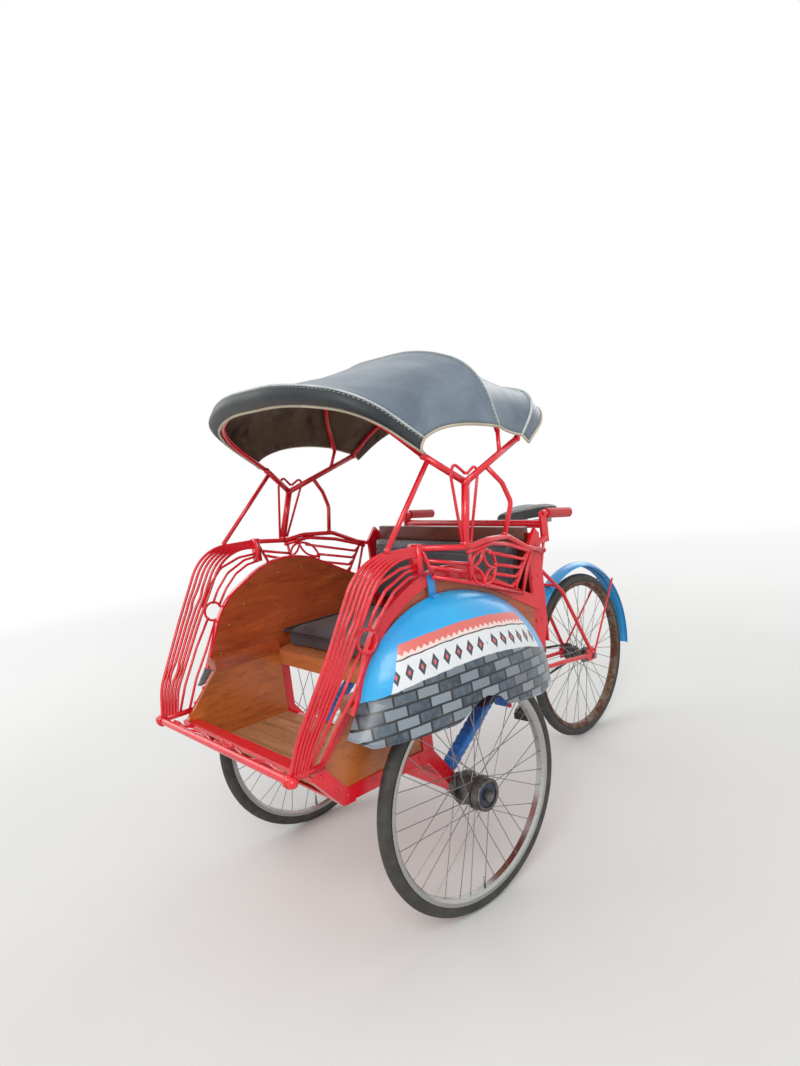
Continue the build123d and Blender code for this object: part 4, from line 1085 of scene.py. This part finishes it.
def rounded_block(size, bend, steps=3):
    """Box of that size on z = 0, its corners rounded, as points and faces of a fine grid."""
    counts = [max(4, round(s / 0.02)) for s in size]
    points, faces, index = [], [], {}

    def point(i, j, k):
        if (i, j, k) not in index:
            spot = Vector([s * (n / c - 0.5) for s, n, c in zip(size, (i, j, k), counts)])
            core = Vector([clamp(v, -s / 2 + bend, s / 2 - bend) for s, v in zip(size, spot)])
            spot = core + (spot - core).normalized() * bend if (spot - core).length > bend else spot
            index[i, j, k] = len(points)
            points.append(spot + Vector((0, 0, size[2] / 2)))
        return index[i, j, k]

    for axis in range(3):
        u, v = [a for a in range(3) if a != axis]
        for end in (0, counts[axis]):
            for a in range(counts[u]):
                for b in range(counts[v]):
                    loop = []
                    for da, db in ((0, 0), (1, 0), (1, 1), (0, 1)):
                        spot = [0, 0, 0]
                        spot[axis], spot[u], spot[v] = end, a + da, b + db
                        loop.append(point(*spot))
                    flip = (end == 0) == (axis != 1)
                    faces.append(tuple(reversed(loop)) if flip else tuple(loop))
    return points, faces


STUFFING_PRESSURE = 4
STUFFING_STEPS = 20


def swelled(obj, voxel, cap):
    """Cloth blown up a little from inside, as stuffing does, no point moving further than cap."""
    grid = obj.modifiers.new("grid", "REMESH")
    grid.mode = "VOXEL"
    grid.voxel_size = voxel
    applied(obj)
    before = [v.co.copy() for v in obj.data.vertices]
    cloth = obj.modifiers.new("stuffing", "CLOTH")
    cloth.settings.use_pressure = True
    cloth.settings.uniform_pressure_force = STUFFING_PRESSURE
    cloth.settings.effector_weights.gravity = 0
    cloth.settings.quality = 4
    for step in range(1, STUFFING_STEPS + 1):
        bpy.context.scene.frame_set(step)
    got = obj.evaluated_get(bpy.context.evaluated_depsgraph_get()).data
    after = [v.co.copy() for v in got.vertices]
    obj.modifiers.clear()
    bpy.context.scene.frame_set(1)
    for vertex, a, b in zip(obj.data.vertices, before, after):
        way = b - a
        vertex.co = a + way * min(1.0, cap / way.length if way.length else 1.0)


def finished_pad(obj, shape):
    """Subdivides once and moves each point by shape(point, normal)."""
    fine = obj.modifiers.new("fine", "SUBSURF")
    fine.levels = fine.render_levels = 1
    applied(obj)
    normals = [v.normal.copy() for v in obj.data.vertices]
    for vertex, normal in zip(obj.data.vertices, normals):
        vertex.co = shape(vertex.co.copy(), normal)
    obj.data.update()


def groove(value, pitch, width, depth):
    """Depth of the sewn channel nearest to value, channels a pitch apart."""
    off = abs((value / pitch) % 1 - 0.5) * pitch
    share = max(0.0, 1 - (pitch / 2 - off) / width)
    return depth * share * share


SEAT_LOW, SEAT_HIGH = (-390.0, -72.0, 698.3), (390.0, 342.0, 772.0)
BACK_SIZE = (0.724, 0.054, 0.250)
BACK_AT = (0.0, 345.1, 778.0)
BACK_LEAN = math.radians(5)
RIB_PITCH = 0.0125


def make_seat_cushion():
    low, high = at(*SEAT_LOW), at(*SEAT_HIGH)
    size = high - low
    start = Vector((size.x - 0.016, size.y - 0.016, size.z - 0.014))
    points, faces = rounded_block(start, 0.016)
    pad = mesh_object("seat_pad", points, faces, BLACK, None)
    swelled(pad, 0.008, 0.012)
    mid = Vector(((low.x + high.x) / 2, (low.y + high.y) / 2, low.z + 0.001))
    half = size / 2

    def shape(p, n):
        up = clamp(n.z * 2, 0.0, 1.0)
        ahead = clamp(-n.y * 2, 0.0, 1.0)
        p = p + Vector((0, 0, 0.006 * up * (1 - (p.x / half.x) ** 2) * (1 - (p.y / half.y) ** 2)))
        rib = groove(p.x + 0.18 * max(0.0, p.z - 0.03) + 0.004 * math.sin(p.x * 11), RIB_PITCH, 0.004, 0.0016)
        p = p - n * rib * max(up, ahead)
        p = p - n * groove(p.y + 0.207, 0.414, 0.006, 0.003) * up
        p = p + n * noise.noise(p * 9) * 0.003
        p.x = clamp(p.x, -half.x, half.x)
        p.y = clamp(p.y, -half.y, half.y)
        p.z = clamp(p.z, 0.0, size.z - 0.001)
        return p

    finished_pad(pad, shape)
    for vertex in pad.data.vertices:
        vertex.co += mid
    stands_for(pad, "seat_cushion", "cab")
    edge = [Vector((x * (half.x - 0.006), y * (half.y - 0.006), 0))
            for x, y in ((-1, -1), (1, -1), (1, 1), (-1, 1), (-1, -1))]
    loop = resampled(rounded(edge, [0.02] * 3), 200)
    tube("seat_pad_piping", [mid + Vector((p.x, p.y, size.z - 0.015)) for p in loop], 0.0042, SADDLE, "cab", 8)


def make_backrest():
    wide, deep, tall = BACK_SIZE
    points, faces = rounded_block(Vector((wide - 0.014, deep - 0.010, tall - 0.014)), 0.014)
    pad = mesh_object("backrest_pad", points, faces, BLACK, None)
    swelled(pad, 0.007, 0.010)
    turn = Matrix.Rotation(-BACK_LEAN, 3, "X")
    place = at(*BACK_AT)

    def shape(p, n):
        ahead = clamp(-n.y * 2, 0.0, 1.0)
        up = clamp(n.z * 2, 0.0, 1.0)
        rib = groove(p.x + 0.003 * math.sin(p.z * 30), RIB_PITCH, 0.004, 0.0015)
        p = p - n * rib * max(ahead, up)
        p = p - n * groove(p.z + 0.06, 0.125, 0.007, 0.006) * ahead
        p = p + n * noise.noise(p * 10) * 0.0025
        p.x = clamp(p.x, -wide / 2, wide / 2)
        p.y = clamp(p.y, -deep / 2, deep / 2) + deep / 2
        p.z = clamp(p.z + 0.007, 0.0, tall)
        return place + turn @ p

    finished_pad(pad, shape)
    stands_for(pad, "backrest_cushion", "cab")


def make_saddle():
    """Sprung saddle top: narrow nose, two hips, a dished middle and turned-down skirts."""
    stations = ((-140, 17, 30, 34), (-128, 21, 38, 42), (-90, 27, 42, 44), (-40, 38, 43, 44), (10, 60, 44, 44),
                (50, 88, 46, 44), (85, 97, 46, 45), (115, 95, 44, 44), (130, 84, 34, 36))
    rows = []
    fine = []
    for a, b in zip(stations, stations[1:]):
        fine += [lerp(a, b, t / 3) for t in range(3)]
    fine.append(stations[-1])
    for y, half, height, skirt in fine:
        row = []
        for k in range(25):
            u = k / 12 - 1
            side = clamp(u * 1.45, -1.0, 1.0)
            drop = max(0.0, abs(u) - 0.69) / 0.31
            crown = height - 9 * abs(side) ** 2.6 - 3 * math.exp(-(side * 3) ** 2) * (y > 20)
            row.append((side * half * (1 - 0.06 * drop ** 2), y, crown - drop * (crown - max(0.6, height - skirt))))
        rows.append(row)
    grid = [[at_rear(x, 250 + y, 1013 + z) for x, y, z in row] for row in rows]
    inner = [[at_rear(x * 0.9, 250 + y * 0.96, 1013 + max(0.5, z - 4)) for x, y, z in row] for row in rows]
    top = mesh_object("saddle_top", *shell_parts(grid, inner), SADDLE, None)
    smooth = top.modifiers.new("fine", "SUBSURF")
    smooth.levels = smooth.render_levels = 1
    applied(top)
    stands_for(top, "saddle", "rear_half")


# Tyres, chain and wrapped springs

def ring_parts(profile, around, shift=None):
    """Turns a profile of (x, r) about the x axis; shift(x, r, k) may move a point."""
    points = []
    for k in range(around):
        a = 2 * math.pi * k / around
        for x, r in profile:
            if shift:
                x, r = shift(x, r, k)
            points.append(Vector((x, r * math.cos(a), r * math.sin(a))) / 1000)
    return points, ring_faces(around, len(profile), closed=True)


def tyre_profile():
    """Casing from bead to bead, closed along the rim."""
    seat, edge = TYRE_R - 40.5, TYRE_R - 32.0
    line = [(14.0, seat), (14.0, edge)]
    for k in range(25):
        a = math.radians(-16 + 212 * k / 24)
        line.append((TYRE_HALF * math.cos(a), TYRE_R - TYRE_HALF + TYRE_HALF * math.sin(a)))
    return line + [(-14.0, edge), (-14.0, seat)]


def tread(x, r, k):
    """Fine zigzag ribs round the crown."""
    if r > TYRE_R - 8:
        zig = 0.9 if k % 2 else -0.9
        rib = abs(((x + zig) / 3.4) % 1 - 0.5) * 2
        return x, r - (1.3 if rib < 0.45 else 0.0) - 0.1
    return x, r


def make_tyres():
    parts = ring_parts(tyre_profile(), 220, tread)
    for name, body in (("left", "wheel_left"), ("right", "wheel_right"), ("rear", "wheel_rear")):
        hub = middle(f"{name}_tyre")
        turn = Matrix.Rotation(STEER_AT_REST if name == "rear" else 0.0, 3, "Z")
        points = [hub + turn @ p for p in parts[0]]
        obj = mesh_object(f"{name}_tyre_tread", points, parts[1], TYRE, None)
        stands_for(obj, f"{name}_tyre", body)
        stem = hub + turn @ Vector((0.004, 0.0, -0.304))
        tube(f"{name}_valve", [stem, stem + turn @ Vector((0.002, 0, 0.034))], 0.0028, STEEL, body, 10)


def make_hub_caps():
    """Rolled lip and dark dish on the outer face of each front hub."""
    lip = [(57.6, 35.0), (61.0, 36.0), (62.6, 39.5), (61.4, 43.0), (57.6, 44.5)]
    dish = [(57.7, 17.0), (58.6, 18.0), (58.6, 34.0), (57.7, 35.0)]
    for side, name in ((1, "left"), (-1, "right")):
        hub = middle(f"{name}_tyre")
        for label, profile, finish in (("lip", lip, GREASY), ("dish", dish, PAINTED_SHADE_BLUE)):
            points, faces = ring_parts(profile, 64)
            points = [hub + Vector((side * p.x, p.y, p.z)) for p in points]
            faces = [tuple(reversed(f)) for f in faces] if side < 0 else faces
            cap = mesh_object(f"{name}_hub_{label}", points, faces, finish, f"wheel_{name}")


CHAINRING_R = 92.0
SPROCKET_R = 38.0
LINKS = 104


def chain_line(count):
    """Evenly spaced (0, y, z) places along the chain's pitch line, in the rear half's frame."""
    (cy, cz), (ay, az) = CRANK_AT, REAR_AXLE
    lean = math.atan2(az - cz, ay - cy)
    tilt = math.acos((CHAINRING_R - SPROCKET_R) / math.hypot(ay - cy, az - cz))
    line = []
    for k in range(41):
        a = lean - tilt - (2 * math.pi - 2 * tilt) * k / 40
        line.append(Vector((0, cy + CHAINRING_R * math.cos(a), cz + CHAINRING_R * math.sin(a))))
    for k in range(25):
        a = lean + tilt - 2 * tilt * k / 24
        line.append(Vector((0, ay + SPROCKET_R * math.cos(a), az + SPROCKET_R * math.sin(a))))
    line.append(line[0].copy())
    return resampled(line, count + 1)


def make_chain():
    spots = chain_line(LINKS)
    parts = []
    for k in range(LINKS):
        a, b = spots[k], spots[k + 1]
        way = (b - a).normalized()
        across = Vector((0, -way.z, way.y))
        outline = []
        for s, end in ((1, b), (-1, a)):
            for q in range(5):
                turn = math.radians(-80 + 40 * q)
                outline.append(end + way * s * 4.1 * math.cos(turn) + across * s * 4.1 * math.sin(turn))
        wide = 3.3 if k % 2 else 2.3
        for side in (-1, 1):
            points = [at_rear(CHAIN_X + side * (wide + t), p.y, p.z) for t in (0, -side * side * 0.9) for p in outline]
            n = len(outline)
            faces = [tuple(reversed(range(n))), tuple(range(n, 2 * n))]
            faces += [(i, (i + 1) % n, n + (i + 1) % n, n + i) for i in range(n)]
            parts.append((points, faces))
        pin = [at_rear(CHAIN_X - 3.4, a.y, a.z), at_rear(CHAIN_X + 3.4, a.y, a.z)]
        parts.append(tube_parts(pin, 0.0022, 6))
    links = mesh_object("chain_links", *gather(parts), CHAIN, None, smooth=False)
    stands_for(links, "chain", "rear_half")


def toothed(name, centre, pitch_r, count, body):
    """Ring of teeth round a sprocket disc."""
    parts = []
    for k in range(count):
        a = 2 * math.pi * k / count
        out = Vector((0, math.cos(a), math.sin(a)))
        along = Vector((0, -out.z, out.y))
        points = []
        for x in (-0.9, 0.9):
            for r, w in ((-6.0, 2.6), (-1.5, 2.0), (2.0, 0.8)):
                for s in (-1, 1):
                    p = out * (pitch_r + r) + along * s * w
                    points.append(at_rear(CHAIN_X + x, centre[0] + p.y, centre[1] + p.z))
        faces = [(0, 2, 3, 1), (2, 4, 5, 3), (6, 7, 9, 8), (8, 9, 11, 10)]
        faces += [(0, 6, 8, 2), (2, 8, 10, 4), (4, 10, 11, 5), (5, 11, 9, 3), (3, 9, 7, 1), (1, 7, 6, 0)]
        parts.append((points, faces))
    obj = mesh_object(name, *gather(parts), STEEL, None, smooth=False)
    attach(obj, body)


SPRING_X = 329.0
SPRING_PATH = ((-22, 395), (14, 398), (226, 556), (270, 548), (270, 506))
SPRING_BENDS = (40, 40, 16)
TAPE_PITCH = 0.024


def make_wrapped_springs():
    """Leaf springs bound in a spiral of tape, each turn lapping the one before."""
    line = [Vector((0, y, z)) for y, z in SPRING_PATH]
    line = resampled(rounded(line, SPRING_BENDS), 170)
    for side, name in ((1, "left"), (-1, "right")):
        points, sides = [], 28
        run = 0.0
        for k, spot in enumerate(line):
            ahead = (line[min(k + 1, len(line) - 1)] - line[max(k - 1, 0)]).normalized()
            up = Vector((1, 0, 0)).cross(ahead) * -1
            run += (line[k] - line[k - 1]).length / 1000 if k else 0
            for q in range(sides):
                a = 2 * math.pi * q / sides
                lap = (run / TAPE_PITCH + a / (2 * math.pi)) % 1
                crease = noise.noise(Vector((run * 45, math.cos(a) * 2, math.sin(a) * 2 + side)))
                swell = 1.0 + 0.15 * lap + 0.05 * crease
                cx, cy = math.cos(a), math.sin(a)
                x = math.copysign(abs(cx) ** 0.55, cx) * 21.5 * swell
                y = math.copysign(abs(cy) ** 0.55, cy) * 14.0 * swell
                place = spot + up * y
                points.append(at(side * (SPRING_X + x), place.y, place.z))
        arm = mesh_object(f"{name}_wrapped_spring", points, tube_faces(len(line), sides), TAPE, "cab")
        # Painted shade: faces on the top bend, under the mudguard, and on the forward tail, under the axle beam, take
        # the darker blue
        arm.data.materials.append(PAINTED_SHADE_BLUE)
        for face in arm.data.polygons:
            if face.center.z > at(0, 0, 532).z or face.center.y < at(0, -8, 0).y:
                face.material_index = 1
        if side > 0:
            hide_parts("spring_arms")


# Small fastenings

def make_fastenings():
    wall_screws = [(-308, 760), (-262, 846), (-196, 905), (-120, 952), (-40, 985), (60, 985), (170, 940), (280, 872)]
    spots = []
    for side in (-1, 1):
        for y, z in wall_screws:
            spots.append((at(side * (WALL_X - 0.2), y, z - 22), (-side, 0, 0)))
        for x in (330, 120):
            spots.append((at(side * x, -111.2, 678), (0, -1, 0)))
        for y in (-300, -180):
            spots.append((at(side * 372, y, 735.2), (0, 0, 1)))
    heads("brass_screws", spots, 4.2, 1.8, BRASS, "cab")
    nails = [(at(x, y, 476.2), (0, 0, 1)) for y in (-350, -290, -232, -172, -126) for x in (-318, -110, 110, 318)]
    heads("floor_nails", nails, 3.2, 0.9, STEEL, "cab")
    bolts = []
    for side in (-1, 1):
        for y, z in ((-462, 560), (-420, 505), (-385, 480), (-250, 480), (-130, 480), (-130, 600), (-130, 660),
                     (-440, 610), (-405, 650)):
            bolts.append((at(side * 368, y, z), (side, 0, 0)))
        for y in (392, 420):
            for z in (760, 900, 1000):
                bolts.append((at(side * 410, y, z), (side, 0, 0)))
    heads("frame_bolts", bolts, 6.0, 3.4, RED, "cab")
    spots = [(at(side * 506, 0, TYRE_R), (side, 0, 0)) for side in (-1, 1)]
    heads("axle_end_caps", spots, 9.0, 3.0, GREASY, "cab")


# Stage, camera and light

FLOOR_HALF = 30.0
FADE = (2.2, 6.5)
WORLD_LEVEL = 0.72


def shown_rays(tree):
    """1 for the rays that see the white backdrop: camera, glossy and transmission rays."""
    rays = tree.nodes.new("ShaderNodeLightPath")
    shown = rays.outputs["Is Camera Ray"]
    for other in ("Is Glossy Ray", "Is Transmission Ray"):
        either = tree.nodes.new("ShaderNodeMath")
        either.operation = "MAXIMUM"
        tree.links.new(shown, either.inputs[0])
        tree.links.new(rays.outputs[other], either.inputs[1])
        shown = either.outputs[0]
    return shown


def make_stage():
    s = Shade("studio_floor", rough=0.9)
    s.colour(s.mix(s.noise(2.0, 3.0), rgb(226, 226, 224), rgb(220, 220, 219)))
    x, y, _ = s.split()
    far = s.between(s.calc("SQRT", s.plus(s.times(x, x), s.times(y, y))), *FADE)
    glow = s.add("ShaderNodeEmission")
    blend = s.add("ShaderNodeMixShader")
    s.put(blend.inputs[0], s.times(far, shown_rays(s.tree)))
    tree = s.tree
    out = next(n for n in tree.nodes if n.type == "OUTPUT_MATERIAL")
    tree.links.new(s.shader.outputs[0], blend.inputs[1])
    tree.links.new(glow.outputs[0], blend.inputs[2])
    tree.links.new(blend.outputs[0], out.inputs["Surface"])
    corners = [(x * FLOOR_HALF, y * FLOOR_HALF, 0) for x, y in ((-1, -1), (1, -1), (1, 1), (-1, 1))]
    floor = mesh_object("floor", corners, [(0, 1, 2, 3)], s.mat, None, smooth=False)


def make_light():
    world = bpy.data.worlds.new("studio")
    bpy.context.scene.world = world
    world.use_nodes = True
    tree = world.node_tree
    light = tree.nodes["Background"]
    light.inputs["Color"].default_value = (1, 1, 1, 1)
    light.inputs["Strength"].default_value = WORLD_LEVEL
    shown = tree.nodes.new("ShaderNodeBackground")
    shown.inputs["Color"].default_value = (1, 1, 1, 1)
    shown.inputs["Strength"].default_value = 1.0
    pick = tree.nodes.new("ShaderNodeMixShader")
    tree.links.new(shown_rays(tree), pick.inputs[0])
    tree.links.new(light.outputs[0], pick.inputs[1])
    tree.links.new(shown.outputs[0], pick.inputs[2])
    tree.links.new(pick.outputs[0], tree.nodes["World Output"].inputs["Surface"])
    for name, place, aim, size, power in (
        ("key", (3.5, -4.0, 4.5), (0, 0, 0.7), 3.0, 165),
        ("fill", (-4.5, -1.5, 3.0), (0, 0, 0.7), 3.0, 50),
        ("back", (-1.0, 5.0, 3.5), (0, 0, 0.8), 3.0, 60),
    ):
        data = bpy.data.lights.new(name, "AREA")
        data.size = size
        data.energy = power
        lamp = bpy.data.objects.new(name, data)
        lamp.location = place
        lamp.rotation_mode = "QUATERNION"
        lamp.rotation_quaternion = (Vector(aim) - Vector(place)).to_track_quat("-Z", "Y")
        bpy.context.scene.collection.objects.link(lamp)


make_camera()
make_stage()
make_light()
for node, finish in FINISH.items():
    dress(node, finish)
for name in ("left", "right", "rear"):
    hub_at = middle(f"{name}_rim")
    dress_where(f"{name}_hub", lambda p, m=hub_at: math.hypot(p.y - m.y, p.z - m.z) > 0.056, STEEL)
dress_where("axle", lambda p: abs(p.x) > 0.366, GREASY)
dress_where("seat_post", lambda p: p.z < at(0, 0, 940).z, STEEL)
make_hood_frame()
make_hood()
make_grilles()
make_lattices()
make_mudguards()
make_seat_cushion()
make_backrest()
make_saddle()
make_tyres()
make_chain()
toothed("chainring_teeth", CRANK_AT, CHAINRING_R, 44, "crank")
toothed("sprocket_teeth", REAR_AXLE, SPROCKET_R, 18, "wheel_rear")
make_wrapped_springs()
make_hub_caps()
make_fastenings()
bpy.context.scene.view_settings.view_transform = "Standard"
